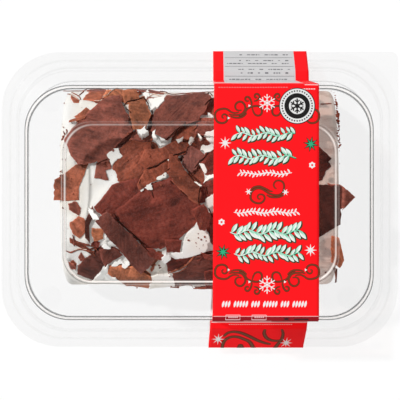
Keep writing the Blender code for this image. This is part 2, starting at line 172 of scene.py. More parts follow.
# Each shard: its tone and the corners of its broken outline, (along, round) in millimetres,
# in the order in which the shards fell on the icing.
SHARDS = (
    ("milk", ((-74, 56), (-68, 50), (-78, 43), (-82, 48))),
    ("milk", ((-93, 6), (-85, 11), (-79, 16), (-71, 17), (-75, 6), (-77, 0), (-77, -7), (-93, -7))),
    ("russet", ((-66, 17), (-57, 18), (-56, 13), (-60, 12), (-58, 6), (-67, 7))),
    ("russet", ((-84, -9), (-79, -7), (-75, -12), (-77, -17), (-83, -13))),
    ("milk", ((-83, -21), (-77, -17), (-73, -19), (-71, -26), (-77, -31), (-82, -27))),
    ("tan", ((-69, -24), (-61, -25), (-61, -31), (-68, -33))),
    ("brown", ((-17, 37), (-9, 44), (1, 44), (-3, 31), (-18, 29))),
    ("russet", ((-1, 45), (16, 46), (17, 36), (5, 33), (-3, 34))),
    ("brown", ((2, 66), (22, 68), (20, 48), (1, 50))),
    ("milk", ((-77, 62), (-73, 70), (-58, 70), (-62, 60), (-70, 60))),
    ("tan", ((-62, 68), (-42, 71), (-41, 63), (-50, 58), (-63, 61))),
    ("brown", ((-44, 31), (-51, 25), (-55, 16), (-52, 6), (-46, 2), (-36, 6), (-31, 15), (-31, 29))),
    ("russet", ((-22, 65), (3, 66), (8, 60), (0, 42), (-9, 40), (-20, 29), (-31, 36), (-29, 50))),
    ("russet", ((-87, 31), (-81, 39), (-62, 60), (-52, 61), (-42, 36), (-53, 26), (-58, 17),
                (-77, 15), (-82, 22))),
    ("tan", ((-51, 61), (-42, 65), (-39, 57), (-48, 52))),
    ("tan", ((-46, 52), (-36, 59), (-31, 46), (-34, 36), (-42, 35))),
    ("brown", ((-5, 16), (1, 17), (4, 4), (-3, 4), (-8, 12))),
    ("bloom", ((-10, 29), (-4, 27), (4, 21), (0, 15), (-5, 10), (-11, 15))),
    ("dark", ((15, 28), (4, 22), (1, 16), (4, 9), (17, 8))),
    ("dark", ((1, 3), (13, 9), (16, -3), (5, -8), (-1, -9))),
    ("brown", ((-35, 24), (-24, 25), (-14, 30), (-7, 28), (-9, 22), (-33, 11), (-38, 16))),
    ("dark", ((-56, 3), (-38, 7), (-30, 3), (-28, -7), (-38, -17), (-52, -22), (-63, -16), (-67, -11))),
    ("dark", ((-30, 4), (-18, 7), (-4, -5), (1, -9), (0, -20), (-13, -31), (-24, -37), (-35, -36),
              (-50, -20), (-52, -12))),
    ("brown", ((-34, 12), (-20, 17), (-19, 10), (-37, 0), (-39, 3))),
    ("brown", ((-19, 21), (-14, 20), (-9, 12), (1, 2), (0, -9), (-6, -6), (-20, 10))),
    ("dark", ((-22, -30), (-11, -31), (-12, -40), (-21, -39))),
    ("dark", ((5, -15), (18, -14), (17, -40), (7, -32))),
    ("dark", ((-5, -12), (3, -8), (8, -16), (4, -24), (0, -23))),
    ("bitter", ((-75, -46), (-69, -41), (-62, -37), (-61, -49), (-70, -66), (-80, -58), (-79, -50))),
    ("tan", ((-59, -49), (-42, -50), (-32, -58), (-32, -71), (-49, -69), (-60, -56))),
    ("bitter", ((-64, -37), (-54, -37), (-49, -42), (-61, -49))),
    ("bitter", ((-58, -13), (-66, -19), (-38, -54), (-28, -41))),
    ("dark", ((-22, -45), (-6, -43), (-2, -41), (-10, -52), (-21, -57))),
    ("bitter", ((-4, -44), (14, -40), (16, -70), (-18, -70), (-17, -58), (-9, -52))),
    ("dark", ((3, -52), (20, -51), (19, -68), (4, -68))),
    ("russet", ((82, 4), (90, 3), (100, -5), (93, -12), (84, -16))),
    ("dark", ((68, 32), (78, 27), (80.5, 24), (84.8, 19.7), (83, 17.6), (84.6, 14.4), (81, 11.5),
     (78.6, 6), (68, 3))),
    ("bitter", ((63, 2), (90, 3), (90, -22), (64, -39))),
    ("tan", ((85, -30), (90, -31), (94, -47), (92, -53), (86, -48))),
    ("russet", ((-3, -75), (16, -74), (14, -90), (3, -91))),
    ("russet", ((24, 62), (48, 66), (51, 44), (33, 36), (22, 46))),
    ("brown", ((27, 30), (52, 33), (56, 13), (38, 8), (24, 16))),
    ("dark", ((24, 2), (44, 5), (55, -8), (46, -26), (27, -24))),
    ("milk", ((30, -34), (52, -36), (50, -52), (33, -55))),
)

# How much lighter or darker than its tone a shard is.
SHARD_LIGHT = {
    3: 0.9, 4: 0.85, 6: 0.9, 7: 0.75, 8: 1.1, 10: 1.2, 11: 1.5, 12: 1.2, 13: 0.7, 14: 0.9, 15: 0.85, 16: 0.85,
    17: 1.1, 23: 0.95, 24: 1.25, 25: 0.8, 28: 0.9, 30: 1.15, 31: 1.3, 36: 1.3, 37: 0.55, 38: 0.50, 39: 1.2,
}

# Smaller slivers that lie on and between the shards, in the same terms.
SLIVERS = (
    ("milk", ((-84, 42), (-83, 44), (-73, 46), (-73, 44))),
    ("bitter", ((-68, -10), (-66, -14), (-71, -24), (-70, -33), (-73, -30), (-73, -20))),
    ("brown", ((-83, -31), (-75, -34), (-68, -39), (-67, -42), (-76, -37), (-83, -34))),
    ("bitter", ((87, -53), (90.4, -55), (91.4, -70), (90.4, -71), (89.6, -58))),
    ("dark", ((-34, -34), (-30, -34), (-22, -39), (-23, -42), (-31, -39))),
    ("dark", ((1, -40), (9, -43), (10, -46), (3, -44))),
    ("russet", ((-85, -47), (-81, -48), (-80, -53), (-84, -53))),
    ("brown", ((-40, -85), (-36, -85), (-35, -92), (-37, -94), (-40, -91))),
    ("brown", ((-19, -84), (-14, -84), (-14, -91), (-17, -95), (-19, -90))),
)

# Thin flakes that fell first and lie under the shards, in the same terms.
FLAKES = (
    ("milk", ((-76.5, 62), (-73.5, 71), (-67, 72), (-50.5, 70), (-40, 72.5), (-38, 68.5), (-45, 64),
     (-52, 61.5), (-62, 60.5), (-68.5, 61), (-72, 64))),
    ("russet", ((-76, 75), (-74.5, 82), (-70.5, 82), (-63.5, 79.5), (-62.5, 73.5), (-68.5, 72.5), (-72, 72))),
    ("milk", ((-86, 70), (-83, 67), (-79.5, 63.5), (-79.5, 60.5), (-83, 60.5), (-85, 65))),
    ("russet", ((-41, 62), (-33, 61), (-29, 63), (-25.5, 64), (-26.5, 66.5), (-33, 66.5), (-39, 64.5))),
    ("russet", ((-43, 73.5), (-33.5, 77), (-23, 72.5), (-24, 68.5), (-33, 69.5), (-40, 70))),
    ("dark", ((-33.5, 51.5), (-31, 50.5), (-29, 46.5), (-30, 41.5), (-30.5, 35.5), (-34, 35), (-33, 42))),
    ("milk", ((-52, 25.5), (-46, 30.5), (-40.5, 32.5), (-36.5, 30.5), (-32, 31.5), (-28, 29.5),
     (-26, 25.5), (-32, 23.5), (-38.5, 25), (-44.5, 24.5), (-48.5, 21.5))),
    ("russet", ((-54, 63), (-50, 54), (-46.5, 47.5), (-43, 42), (-42, 37), (-39, 33), (-46, 29.5),
     (-57.5, 23.5), (-62.5, 19.5), (-65.5, 26.5), (-56.5, 40))),
    ("russet", ((-46, 29), (-41, 40), (-32, 38.5), (-29.5, 32.5), (-35, 29))),
    ("russet", ((-8.5, 33), (-2.5, 41.5), (9, 41.5), (9, 35), (4, 32.5), (8.5, 28), (6, 26.5),
     (2.5, 27.5), (-0.5, 23.5), (-6, 26.5))),
    ("brown", ((-19, 26.5), (-15, 32.5), (-7.5, 33), (-2, 27.5), (-7.5, 24.5), (-15, 23))),
    ("bitter", ((-68.5, -40.5), (-66.5, -37.5), (-62, -36.5), (-54.5, -37.5), (-50.5, -40), (-53, -44),
     (-65, -45))),
    ("russet", ((-76.5, -41.5), (-74, -45), (-74, -47.5), (-77.5, -48), (-78.5, -45))),
    ("brown", ((-84.5, -48), (-82, -47), (-80, -50.5), (-81, -54), (-83.5, -52.5))),
    ("dark", ((-70, -35), (-67, -33), (-63.5, -33.5), (-64.5, -36.5), (-67.5, -39))),
    ("milk", ((-27, -40.5), (-24.5, -41), (-21, -45), (-18.5, -45), (-22.5, -47), (-27, -47),
     (-30.5, -52.5), (-33, -50.5), (-29.5, -45))),
    ("milk", ((-32.5, -54), (-29, -50), (-27, -52.5), (-28.5, -56), (-32, -57))),
    ("dark", ((-2.5, -45.5), (-0.5, -40), (1.5, -41), (4, -41.5), (9.5, -40.5), (9.5, -46.5),
     (3, -49.5), (-1.5, -49))),
    ("dark", ((3, -20.5), (5.5, -17), (9.5, -16.5), (9.5, -37.5), (7, -34.5), (5.5, -30.5), (4.5, -25.5))),
    ("tan", ((-53, -48), (-44.5, -48), (-37.5, -54), (-31.5, -58), (-33, -69.5), (-48, -69.5), (-55, -58))),
    ("russet", ((-1, -77), (9.5, -74), (10, -82), (3.5, -82), (0, -82))),
    ("russet", ((-22.5, -74), (-13, -74), (-14.5, -84), (-15.5, -82), (-18.5, -82))),
    ("milk", ((-48, -74), (-32, -74), (-35, -82), (-37, -82), (-40.5, -82))),
)

# White icing that shows over and between the shards: the corners of each dab.
DABS = (
    ((-57, 21.5), (-55, 24.5), (-51.5, 25.5), (-50.5, 22.5), (-48.5, 20.5), (-52.5, 18.5), (-55.5, 16),
     (-57, 19)),
    ((-40, 35), (-37, 35), (-34.5, 36.5), (-32.5, 34.5), (-35, 32.5), (-36.5, 30.5), (-39, 32.5)),
    ((-31, 34.5), (-28, 36.5), (-28.5, 34), (-27, 31.5), (-27.5, 29.5), (-29.5, 31.5)),
    ((-28, 30.5), (-26, 31), (-24, 28), (-19, 27), (-21.5, 25.5), (-24, 24.5), (-26, 26)),
    ((-14.5, 29.5), (-12.5, 30), (-10.5, 31.5), (-11.5, 29), (-13, 28)),
    ((-6.5, 27.5), (-6, 30.5), (-3, 31.5), (-4, 29.5), (-6, 27)),
    ((-1, 34.5), (0.5, 33.5), (2, 31.5), (0.5, 31)),
    ((3.5, 33.5), (9.5, 37), (9.5, 33), (5.5, 33)),
    ((0.5, 24), (2.5, 27.5), (5, 27), (8, 28), (9.5, 26.5), (6, 23.5), (4, 22.5), (2.5, 24.5)),
    ((-20.5, 18), (-19, 18), (-19, 16)),
    ((5, 50), (7, 49.5), (9.5, 46), (5.5, 46.5)),
    ((-37.5, 67), (-34.5, 73), (-33, 66), (-35, 63), (-38, 64)),
    ((-34, 61.5), (-29, 63.5), (-23.5, 63.5), (-23, 58.5), (-26, 54), (-29, 51.5), (-31.5, 50.5), (-34, 55)),
    ((-11, -40), (-10.5, -32), (-8, -27), (-4, -23.5), (-0.5, -20.5), (1.5, -23), (3.5, -23), (5, -27),
     (6, -33),
     (4.5, -40), (-1, -42), (-6, -43.5), (-10, -44)),
    ((-70.5, -11), (-67, -14), (-64, -17), (-67, -18), (-69, -15)),
    ((-62, -56), (-59.5, -56), (-54.5, -60), (-49, -67.5), (-58.5, -69.5), (-62.5, -63.5)),
    ((-59, -49), (-59.5, -55), (-66.5, -68), (-71.5, -67), (-68.5, -60.5), (-64.5, -54.5), (-62.5, -51)),
    ((-34.5, 1), (-30, 4.5), (-29.5, 0), (-32, 0)),
    ((-26.5, 6.5), (-20.5, 10.5), (-21, 7), (-25.5, 6)),
    ((-37.5, -0.5), (-35, 0.5), (-35, -0.5), (-36.5, -1.5)),
    ((-3, 4.5), (-1.5, 4.5), (1.5, 2.5), (0.5, 2)),
    ((0.5, 15), (2, 15.5), (4.5, 10.5), (3.5, 9)),
    ((2.5, 3.5), (5.5, 9), (7, 8), (9.5, 9.5), (9.5, 7.5), (6.5, 6.5), (4, 5)),
    ((9.5, -2), (9.5, -10), (5.5, -9.5), (4.5, -6), (6.5, -5)),
    ((-57, -49), (-54.5, -46), (-51, -44.5), (-49, -47), (-51, -48), (-54.5, -49.5)),
    ((-49.5, -47), (-47.5, -48), (-44.5, -46), (-44.5, -47.5), (-46.5, -50), (-49.5, -49.5)),
    ((-63.5, -35.5), (-61.5, -33.5), (-59.5, -34), (-56.5, -37), (-60.5, -36.5)),
    ((-60.5, -30), (-59.5, -29.5), (-58.5, -31.5), (-60.5, -32.5)),
    ((-27, -49.5), (-24.5, -46), (-22, -46.5), (-22, -50.5), (-25.5, -54.5), (-28.5, -57), (-30.5, -56)),
    ((-25, -40.5), (-21.5, -38.5), (-19, -39), (-18, -41.5), (-22, -44.5), (-23.5, -42)),
    ((-18, -40), (-10.5, -39.5), (-10, -44), (-15.5, -44.5), (-18, -42.5)),
    ((-31.5, -58), (-27.5, -56.5), (-19.5, -58.5), (-16.5, -62.5), (-17, -69.5), (-32.5, -69.5)),
)

# Loops of a dab from its middle outwards and down its side: share of the outline, margin drawn in
# from it, and drop below its flat top in millimetres, None for the bare icing.
DAB_EMBED = 0.3 * MM              # a dab's sides end this far inside the bare icing
DAB_LOOPS = (
    (0.3, 0.0, -0.04), (0.6, 0.0, -0.02), (1.0, 1.0, 0.0), (1.0, 0.35, 0.02), (1.0, 0.1, 0.08),
    (1.0, 0.0, 0.2), (1.0, 0.0, None), (0.5, 0.0, None),
)

# Thin curls and shavings, pale strips of painted highlight along lit edges, and near-black strips of
# painted shade in the gaps between shards: tone, width in millimetres, and the points of the middle line.
STRIPS = (
    ("brown", 0.7, ((-92.5, 82), (-81.5, 82), (-76, 82), (-64.5, 82))),
    ("russet", 0.7, ((-62.5, 78), (-51, 81), (-41, 82), (-28.5, 81))),
    ("brown", 0.8, ((-26.5, 72.5), (-16.5, 75), (-8.5, 77.5), (0.5, 81), (10, 84))),
    ("cream", 0.5, ((-26, 70), (-16.5, 70), (-6.5, 71.5), (9.5, 71))),
    ("cream", 0.5, ((-33, 67), (-30.5, 68.5), (-26.5, 67.5), (-24.5, 67))),
    ("milk", 0.7, ((-86, 75.5), (-82.5, 72), (-79.5, 67), (-78.5, 63))),
    ("cream", 0.6, ((-86.5, 72), (-83, 68.5), (-80, 63.5))),
    ("milk", 0.7, ((-80, 72), (-78, 76), (-76, 79.5))),
    ("brown", 0.8, ((-80.5, 70), (-79, 73.5), (-77, 76))),
    ("brown", 0.6, ((-88.5, 72.5), (-86, 72))),
    ("brown", 0.7, ((-69, 59), (-66.5, 58.5), (-62.5, 58.5))),
    ("cream", 0.5, ((-69, 60), (-65, 60), (-61, 61.5), (-58.5, 66), (-54.5, 70), (-49.5, 74))),
    ("brown", 0.6, ((-41.5, 61.5), (-36.5, 61), (-32.5, 60.5), (-29.5, 62))),
    ("dark", 0.7, ((-46.5, 68.5), (-42, 68), (-38, 68))),
    ("crack", 1.1, ((-49, 51.5), (-45.5, 53), (-40.5, 55), (-36.5, 57.5))),
    ("crack", 0.8, ((-36.5, 58), (-33, 53), (-30.5, 49), (-30, 46.5))),
    ("crack", 1.6, ((-31.5, 42), (-31, 39), (-32.5, 35.5))),
    ("crack", 1.6, ((-44.5, 42), (-44.5, 40), (-43.5, 37.5))),
    ("crack", 0.7, ((-47, 51), (-46.5, 48), (-44.5, 46), (-43.5, 45))),
    ("crack", 0.6, ((-51, 26.5), (-48, 28.5), (-45.5, 31))),
    ("crack", 0.6, ((-65, 15), (-62.5, 17), (-58, 18.5))),
    ("crack", 0.6, ((-77.5, 15), (-74, 15))),
    ("crack", 1.1, ((-33, 12), (-30, 13), (-26.5, 14), (-23.5, 16), (-19, 18))),
    ("crack", 0.9, ((-9.5, 41.5), (-9, 40), (-12, 38), (-15, 35.5), (-18, 32.5), (-21.5, 29.5))),
    ("crack", 1.0, ((-16.5, 20), (-12.5, 21.5), (-8.5, 23))),
    ("crack", 2.2, ((-13, 18.5), (-12, 17.5), (-10.5, 20.5))),
    ("crack", 0.9, ((3.5, 52.5), (5.5, 55.5), (9, 58.5))),
    ("crack", 0.7, ((4.5, 68), (7, 63.5), (9, 59.5))),
    ("crack", 0.8, ((-54.5, -15), (-48, -21.5), (-41, -27.5), (-32, -36))),
    ("crack", 0.7, ((1, 2), (0, -2), (-0.5, -8.5))),
    ("crack", 0.6, ((4.5, 1.5), (5.5, -3.5))),
    ("crack", 0.7, ((6, -11), (7.5, -14), (9, -17))),
    ("crack", 0.7, ((-8, 10.5), (-5.5, 8), (-3, 5))),
    ("crack", 0.6, ((-10, 12), (-9.5, 11.5))),
    ("crack", 0.6, ((-18.5, 5.5), (-17, 4), (-14.5, 2.5))),
    ("crack", 0.6, ((-11.5, -0.5), (-10, -2), (-7, -4.5))),
    ("crack", 0.6, ((-20, 11), (-18.5, 12.5))),
    ("crack", 0.9, ((-3, 13), (-0.5, 16), (3, 19), (7, 24))),
    ("crack", 0.6, ((-30, -0.5), (-29.5, -3), (-28.5, -5.5))),
    ("crack", 0.6, ((-37, 6), (-37.5, 3.5))),
    ("crack", 0.6, ((-4.5, 35.5), (-2, 37.5), (-1, 41))),
    ("brown", 1.2, ((-81, -33.5), (-77, -33.5), (-72, -35), (-66.5, -37))),
    ("brown", 1.1, ((-86.5, -40.5), (-83, -41.5), (-77.5, -39), (-71.5, -38.5), (-67, -39))),
    ("brown", 0.9, ((-76, -36), (-71.5, -37), (-65.5, -38))),
    ("cream", 0.7, ((-80.5, -40), (-77, -38), (-72, -37.5))),
    ("russet", 1.3, ((-81, -28.5), (-80.5, -32.5), (-80.5, -36.5))),
    ("milk", 1.2, ((-20.5, -57), (-15.5, -54.5), (-10, -51), (-6, -46.5), (-2.5, -41.5))),
    ("brown", 0.7, ((-18, -57), (-13, -55), (-9, -52))),
    ("dark", 1.0, ((0, -40.5), (1.5, -43), (0.5, -45.5), (-1.5, -46))),
    ("brown", 0.7, ((-56.5, -74), (-40, -74.5), (-23.5, -75), (-6.5, -74.5), (9.5, -74.5))),
    ("brown", 0.8, ((-84, -60.5), (-82, -62.5))),
    ("brown", 0.8, ((-82.5, -61), (-79.5, -65.5), (-75.5, -70), (-71.5, -70.5))),
    ("russet", 0.8, ((-88, 38), (-86, 34.5), (-85, 38))),
    ("brown", 0.9, ((-86, 39), (-85, 36.5))),
    ("tan", 0.6, ((89, -49), (88.5, -53), (90.5, -66.5))),
    ("tan", 0.7, ((91, -13), (93.5, -11), (96, -8.5))),
    ("brown", 0.7, ((79.5, 59), (83.5, 59.5), (87, 60))),
)


# ---------------------------------------------------------------- settings

class PackSettings(bpy.types.PropertyGroup):
    panel_sag: FloatProperty(
        name="Panel sag", description="How far the lid's middle panel hangs in its middle",
        default=0.35 * MM, min=0.0, max=2.0 * MM, unit="LENGTH", precision=5)
    paper_wave: FloatProperty(
        name="Paper wave", description="Rise and fall of the paper band",
        default=0.08 * MM, min=0.0, max=1.0 * MM, unit="LENGTH", precision=5)
    clarity: FloatProperty(
        name="Clarity", description="Share of light that one face of the clear lid lets through",
        default=0.992, min=0.5, max=1.0, subtype="FACTOR")
    tray_clarity: FloatProperty(
        name="Tray clarity", description="Share of light that one face of the clear tray lets through",
        default=0.970, min=0.5, max=1.0, subtype="FACTOR")
    paper_red: FloatVectorProperty(
        name="Paper red", description="Ground colour of the band",
        default=(0.86, 0.0080, 0.0120), size=3, min=0.0, max=1.0, subtype="COLOR")
    print_brown: FloatVectorProperty(
        name="Scroll brown", description="Colour of the printed scrolls",
        default=(0.16, 0.058, 0.022), size=3, min=0.0, max=1.0, subtype="COLOR")
    print_green: FloatVectorProperty(
        name="Star green", description="Colour of the printed green stars",
        default=(0.03, 0.42, 0.20), size=3, min=0.0, max=1.0, subtype="COLOR")


class CakeSettings(bpy.types.PropertyGroup):
    relief: FloatProperty(
        name="Icing relief", description="Height of the spatula's strokes in the icing",
        default=0.55 * MM, min=0.0, max=3.0 * MM, unit="LENGTH", precision=5)
    shard_thickness: FloatProperty(
        name="Shard thickness", description="Thickness of a chocolate shard",
        default=0.9 * MM, min=0.3 * MM, max=3.0 * MM, unit="LENGTH", precision=5)
    crumbs: IntProperty(
        name="Crumbs", description="How many chocolate crumbs lie on the icing",
        default=260, min=0, max=1500)
    icing_colour: FloatVectorProperty(
        name="Icing", description="Colour of the icing",
        default=(0.75, 0.742, 0.715), size=3, min=0.0, max=1.0, subtype="COLOR")
    # The pale strips in this colour are painted highlight along lit edges of the curls.
    cream: FloatVectorProperty(
        name="Pale shavings", description="Colour of the thinnest, palest shavings",
        default=(0.66, 0.47, 0.38), size=3, min=0.0, max=1.0, subtype="COLOR")
    tan: FloatVectorProperty(
        name="Tan chocolate", description="Colour of the palest shards",
        default=(0.38, 0.122, 0.058), size=3, min=0.0, max=1.0, subtype="COLOR")
    milk: FloatVectorProperty(
        name="Milk chocolate", description="Colour of the milk chocolate shards",
        default=(0.3, 0.086, 0.045), size=3, min=0.0, max=1.0, subtype="COLOR")
    russet: FloatVectorProperty(
        name="Russet chocolate", description="Colour of the reddish shards",
        default=(0.24, 0.068, 0.046), size=3, min=0.0, max=1.0, subtype="COLOR")
    brown: FloatVectorProperty(
        name="Brown chocolate", description="Colour of the brown shards",
        default=(0.225, 0.055, 0.029), size=3, min=0.0, max=1.0, subtype="COLOR")
    bloom: FloatVectorProperty(
        name="Bloomed chocolate", description="Colour of the shards with a grey bloom",
        default=(0.228, 0.074, 0.056), size=3, min=0.0, max=1.0, subtype="COLOR")
    dark: FloatVectorProperty(
        name="Dark chocolate", description="Colour of the dark shards",
        default=(0.174, 0.034, 0.022), size=3, min=0.0, max=1.0, subtype="COLOR")
    bitter: FloatVectorProperty(
        name="Bitter chocolate", description="Colour of the darkest shards",
        default=(0.120, 0.033, 0.023), size=3, min=0.0, max=1.0, subtype="COLOR")


class StageSettings(bpy.types.PropertyGroup):
    camera_place: FloatVectorProperty(
        name="Camera", description="Where the camera hangs over the pack",
        default=(3.5 * MM, 18.0 * MM, 690.0 * MM), size=3, unit="LENGTH", precision=4)
    lens: FloatProperty(
        name="Lens", description="Focal length on a 36 mm wide sensor, in millimetres",
        default=87.1, min=20.0, max=300.0)
    key_strength: FloatProperty(
        name="Key light", description="Strength of the key light", default=2.55, min=0.0, max=20.0)
    sky_strength: FloatProperty(
        name="Soft light", description="Strength of the soft light from all round",
        default=0.43, min=0.0, max=5.0)
    floor_glow: FloatProperty(
        name="Floor glow", description="Share of the floor's brightness that is its own",
        default=0.86, min=0.0, max=1.0, subtype="FACTOR")


class YuleLogSettings(bpy.types.PropertyGroup):
    pack: PointerProperty(type=PackSettings)
    cake: PointerProperty(type=CakeSettings)
    stage: PointerProperty(type=StageSettings)


# ---------------------------------------------------------------- finishes

class Wire:
    """One socket of a finish; each operator on it adds a Math node."""

    def __init__(self, finish, socket):
        self.finish = finish
        self.socket = socket

    def maths(self, operation, *values):
        return self.finish.node("ShaderNodeMath", {"operation": operation}, dict(enumerate(values)))

    def __add__(self, other):
        return self.maths("ADD", self, other)

    def __sub__(self, other):
        return self.maths("SUBTRACT", self, other)

    def __rsub__(self, other):
        return self.maths("SUBTRACT", other, self)

    def __mul__(self, other):
        return self.maths("MULTIPLY", self, other)

    def __pow__(self, power):
        return self.maths("POWER", self, power)

    __radd__ = __add__
    __rmul__ = __mul__

    def rise(self, low, high):
        """0 up to low, 1 from high, and a smooth rise between them."""
        return self.finish.node("ShaderNodeMapRange", {"interpolation_type": "SMOOTHSTEP"},
                                {"Value": self, "From Min": low, "From Max": high})


class Finish:
    """A material built node by node."""

    def __init__(self, name):
        self.material = bpy.data.materials.new(name)
        self.material.use_nodes = True
        self.tree = self.material.node_tree
        self.tree.nodes.clear()

    def node(self, kind, settings=None, inputs=None, output=0):
        """Add a node: its settings first, then the values or wires of its sockets."""
        made = self.tree.nodes.new(kind)
        for name, value in (settings or {}).items():
            setattr(made, name, value)
        for name, value in (inputs or {}).items():
            socket = made.inputs[name]
            if isinstance(value, Wire):
                self.tree.links.new(value.socket, socket)
            elif socket.type == "RGBA" and len(value) == 3:
                socket.default_value = (*value, 1.0)
            else:
                socket.default_value = value
        return Wire(self, made.outputs[output])

    def attribute(self, name, output="Fac"):
        return self.node("ShaderNodeAttribute", {"attribute_name": name}, output=output)

    def place(self):
        return self.node("ShaderNodeTexCoord", output="Object")

    def stretch(self, vector, amounts):
        return self.node("ShaderNodeVectorMath", {"operation": "MULTIPLY"}, {0: vector, 1: amounts})

    def noise(self, vector, grain, detail=2.0, roughness=0.5):
        """Noise whose lumps are about grain metres across."""
        return self.node("ShaderNodeTexNoise", {}, {
            "Vector": vector, "Scale": 0.6 / grain, "Detail": detail, "Roughness": roughness})

    def mix(self, share, first, second):
        """Colour that goes from first to second as share goes from 0 to 1."""
        return self.node("ShaderNodeMix", {"data_type": "RGBA"}, {0: share, 6: first, 7: second}, output=2)

    def bump(self, height, distance, strength=1.0, under=None):
        inputs = {"Height": height, "Distance": distance, "Strength": strength}
        if under is not None:
            inputs["Normal"] = under
        return self.node("ShaderNodeBump", {}, inputs)

    def principled(self, **inputs):
        named = {name.replace("_", " ").title(): value for name, value in inputs.items()}
        if "Ior" in named:
            named["IOR"] = named.pop("Ior")
        if "Specular Ior Level" in named:
            named["Specular IOR Level"] = named.pop("Specular Ior Level")
        return self.node("ShaderNodeBsdfPrincipled", {}, named)

    def mix_shader(self, share, first, second):
        return self.node("ShaderNodeMixShader", {}, {0: share, 1: first, 2: second})

    def done(self, shader):
        out = self.tree.nodes.new("ShaderNodeOutputMaterial")
        self.tree.links.new(shader.socket, out.inputs["Surface"])
        return self.material


def shaded(colour, factor):
    """A colour made lighter or darker, kept under white."""
    return tuple(min(1.0, channel * factor) for channel in colour)


def dusted(colour):
    """A colour under a thin pale dust."""
    return tuple(channel * 1.25 + 0.035 for channel in colour)


def plastic_finish(name, clarity):
    """Clear moulded sheet: see-through, glossier at a slant, with painted shade and highlight at its bends.

    Its steps bend light aside, which only the light that passes through to other pieces meets.
    """
    finish = Finish(name)
    clear = finish.node("ShaderNodeBsdfTransparent", {}, {"Color": (clarity, clarity, clarity)})
    gloss = finish.node("ShaderNodeBsdfAnisotropic", {}, {"Color": (1.0, 1.0, 1.0), "Roughness": 0.24})
    slant = finish.node("ShaderNodeLayerWeight", {}, {"Blend": 0.5}, output="Facing")
    sheet = finish.mix_shader(0.003 + 0.4 * slant ** 4, clear, gloss)
    # Painted highlight: a pale surface with a glow of its own, mixed in along the bends that would catch the light.
    mist = finish.principled(base_color=(0.6, 0.575, 0.55), roughness=0.4, specular_ior_level=0.2,
                             emission_color=(1.0, 0.92, 0.87), emission_strength=0.5)
    # Painted shade: a near-black surface, mixed in along the bends that would turn the light away.
    shade = finish.principled(base_color=(0.06, 0.06, 0.06), roughness=0.4)
    sheet = finish.mix_shader(finish.attribute("mist"), sheet, mist)
    sheet = finish.mix_shader(finish.attribute("shade"), sheet, shade)
    blocking = finish.node("ShaderNodeBsdfDiffuse", {}, {"Color": (0.1, 0.1, 0.1)})
    dimmed = finish.mix_shader(finish.attribute("cast"), clear, blocking)
    lamp = finish.node("ShaderNodeLightPath", output="Is Shadow Ray")
    return finish.done(finish.mix_shader(lamp, sheet, dimmed))


def paper_finish(red):
    """Coated red paper, white on its inner side and on its cut edges; some light passes through it."""
    finish = Finish("red_paper")
    place = finish.place()
    fibre = finish.noise(place, 0.5 * MM, detail=4.0)
    cloud = finish.noise(place, 9.0 * MM, detail=2.0)
    ground = finish.mix(cloud, shaded(red, 0.95), shaded(red, 1.04))
    inner = finish.attribute("inner")
    colour = finish.mix(inner, ground, (0.80, 0.79, 0.78))
    # Its emission is a painted glow that lightens the band where it lies in shade.
    paper = finish.principled(
        base_color=colour, roughness=0.5 + 0.1 * fibre, specular_ior_level=0.05,
        emission_color=(0.9, 0.008, 0.012), emission_strength=0.13,
        normal=finish.bump(fibre, 0.02 * MM, 0.4))
    through = finish.node("ShaderNodeBsdfTransparent", {}, {"Color": (1.0, 0.86, 0.82)})
    dimmed = finish.mix_shader(0.78, paper, through)
    lamp = finish.node("ShaderNodeLightPath", output="Is Shadow Ray")
    return finish.done(finish.mix_shader(lamp, paper, dimmed))


def ink_finish(name, colour, second=None):
    """A printed colour with a slight mottle; a second colour fades in across each shape."""
    finish = Finish(name)
    mottle = finish.noise(finish.place(), 0.8 * MM, detail=3.0)
    light = finish.mix(mottle, shaded(colour, 0.93), shaded(colour, 1.05))
    if second is not None:
        light = finish.mix(finish.attribute("fade"), light, second)
    return finish.done(finish.principled(
        base_color=light, roughness=0.42 + 0.12 * mottle, specular_ior_level=0.12))


def icing_finish(colour, glow=0.06):
    """Whipped white icing: soft, with fine strokes, creamy in broad patches, tanned at its far end, with a painted
    glow.
    """
    finish = Finish("white_icing")
    place = finish.place()
    strokes = finish.noise(finish.stretch(place, (0.35, 1.0, 1.0)), 1.6 * MM, detail=3.0)
    foam = finish.noise(place, 0.45 * MM, detail=4.0, roughness=0.6)
    cloud = finish.noise(place, 14.0 * MM, detail=3.0)
    cream = finish.mix(cloud.rise(0.35, 0.75), colour, (colour[0] * 0.97, colour[1] * 0.92, colour[2] * 0.83))
    tan = finish.attribute("tan") * (0.25 + 0.5 * cloud)
    veins = finish.noise(finish.stretch(place, (0.5, 1.0, 1.0)), 7.0 * MM, detail=4.0, roughness=0.6)
    tanned = finish.mix(tan, cream, (0.66, 0.49, 0.41))
    body = finish.mix(tan * veins.rise(0.50, 0.62), tanned, (0.36, 0.20, 0.14))
    specks = finish.noise(place, 0.7 * MM, detail=2.0).rise(0.68, 0.74) * finish.attribute("dust")
    # The emission is a faint painted glow that lightens the icing where it lies in shade.
    return finish.done(finish.principled(
        base_color=finish.mix(specks, body, (0.20, 0.08, 0.05)),
        roughness=0.5 + 0.2 * foam, specular_ior_level=0.3,
        emission_color=(0.95, 0.93, 0.90), emission_strength=glow,
        normal=finish.bump(strokes + 0.35 * foam, 0.35 * MM, 0.55)))


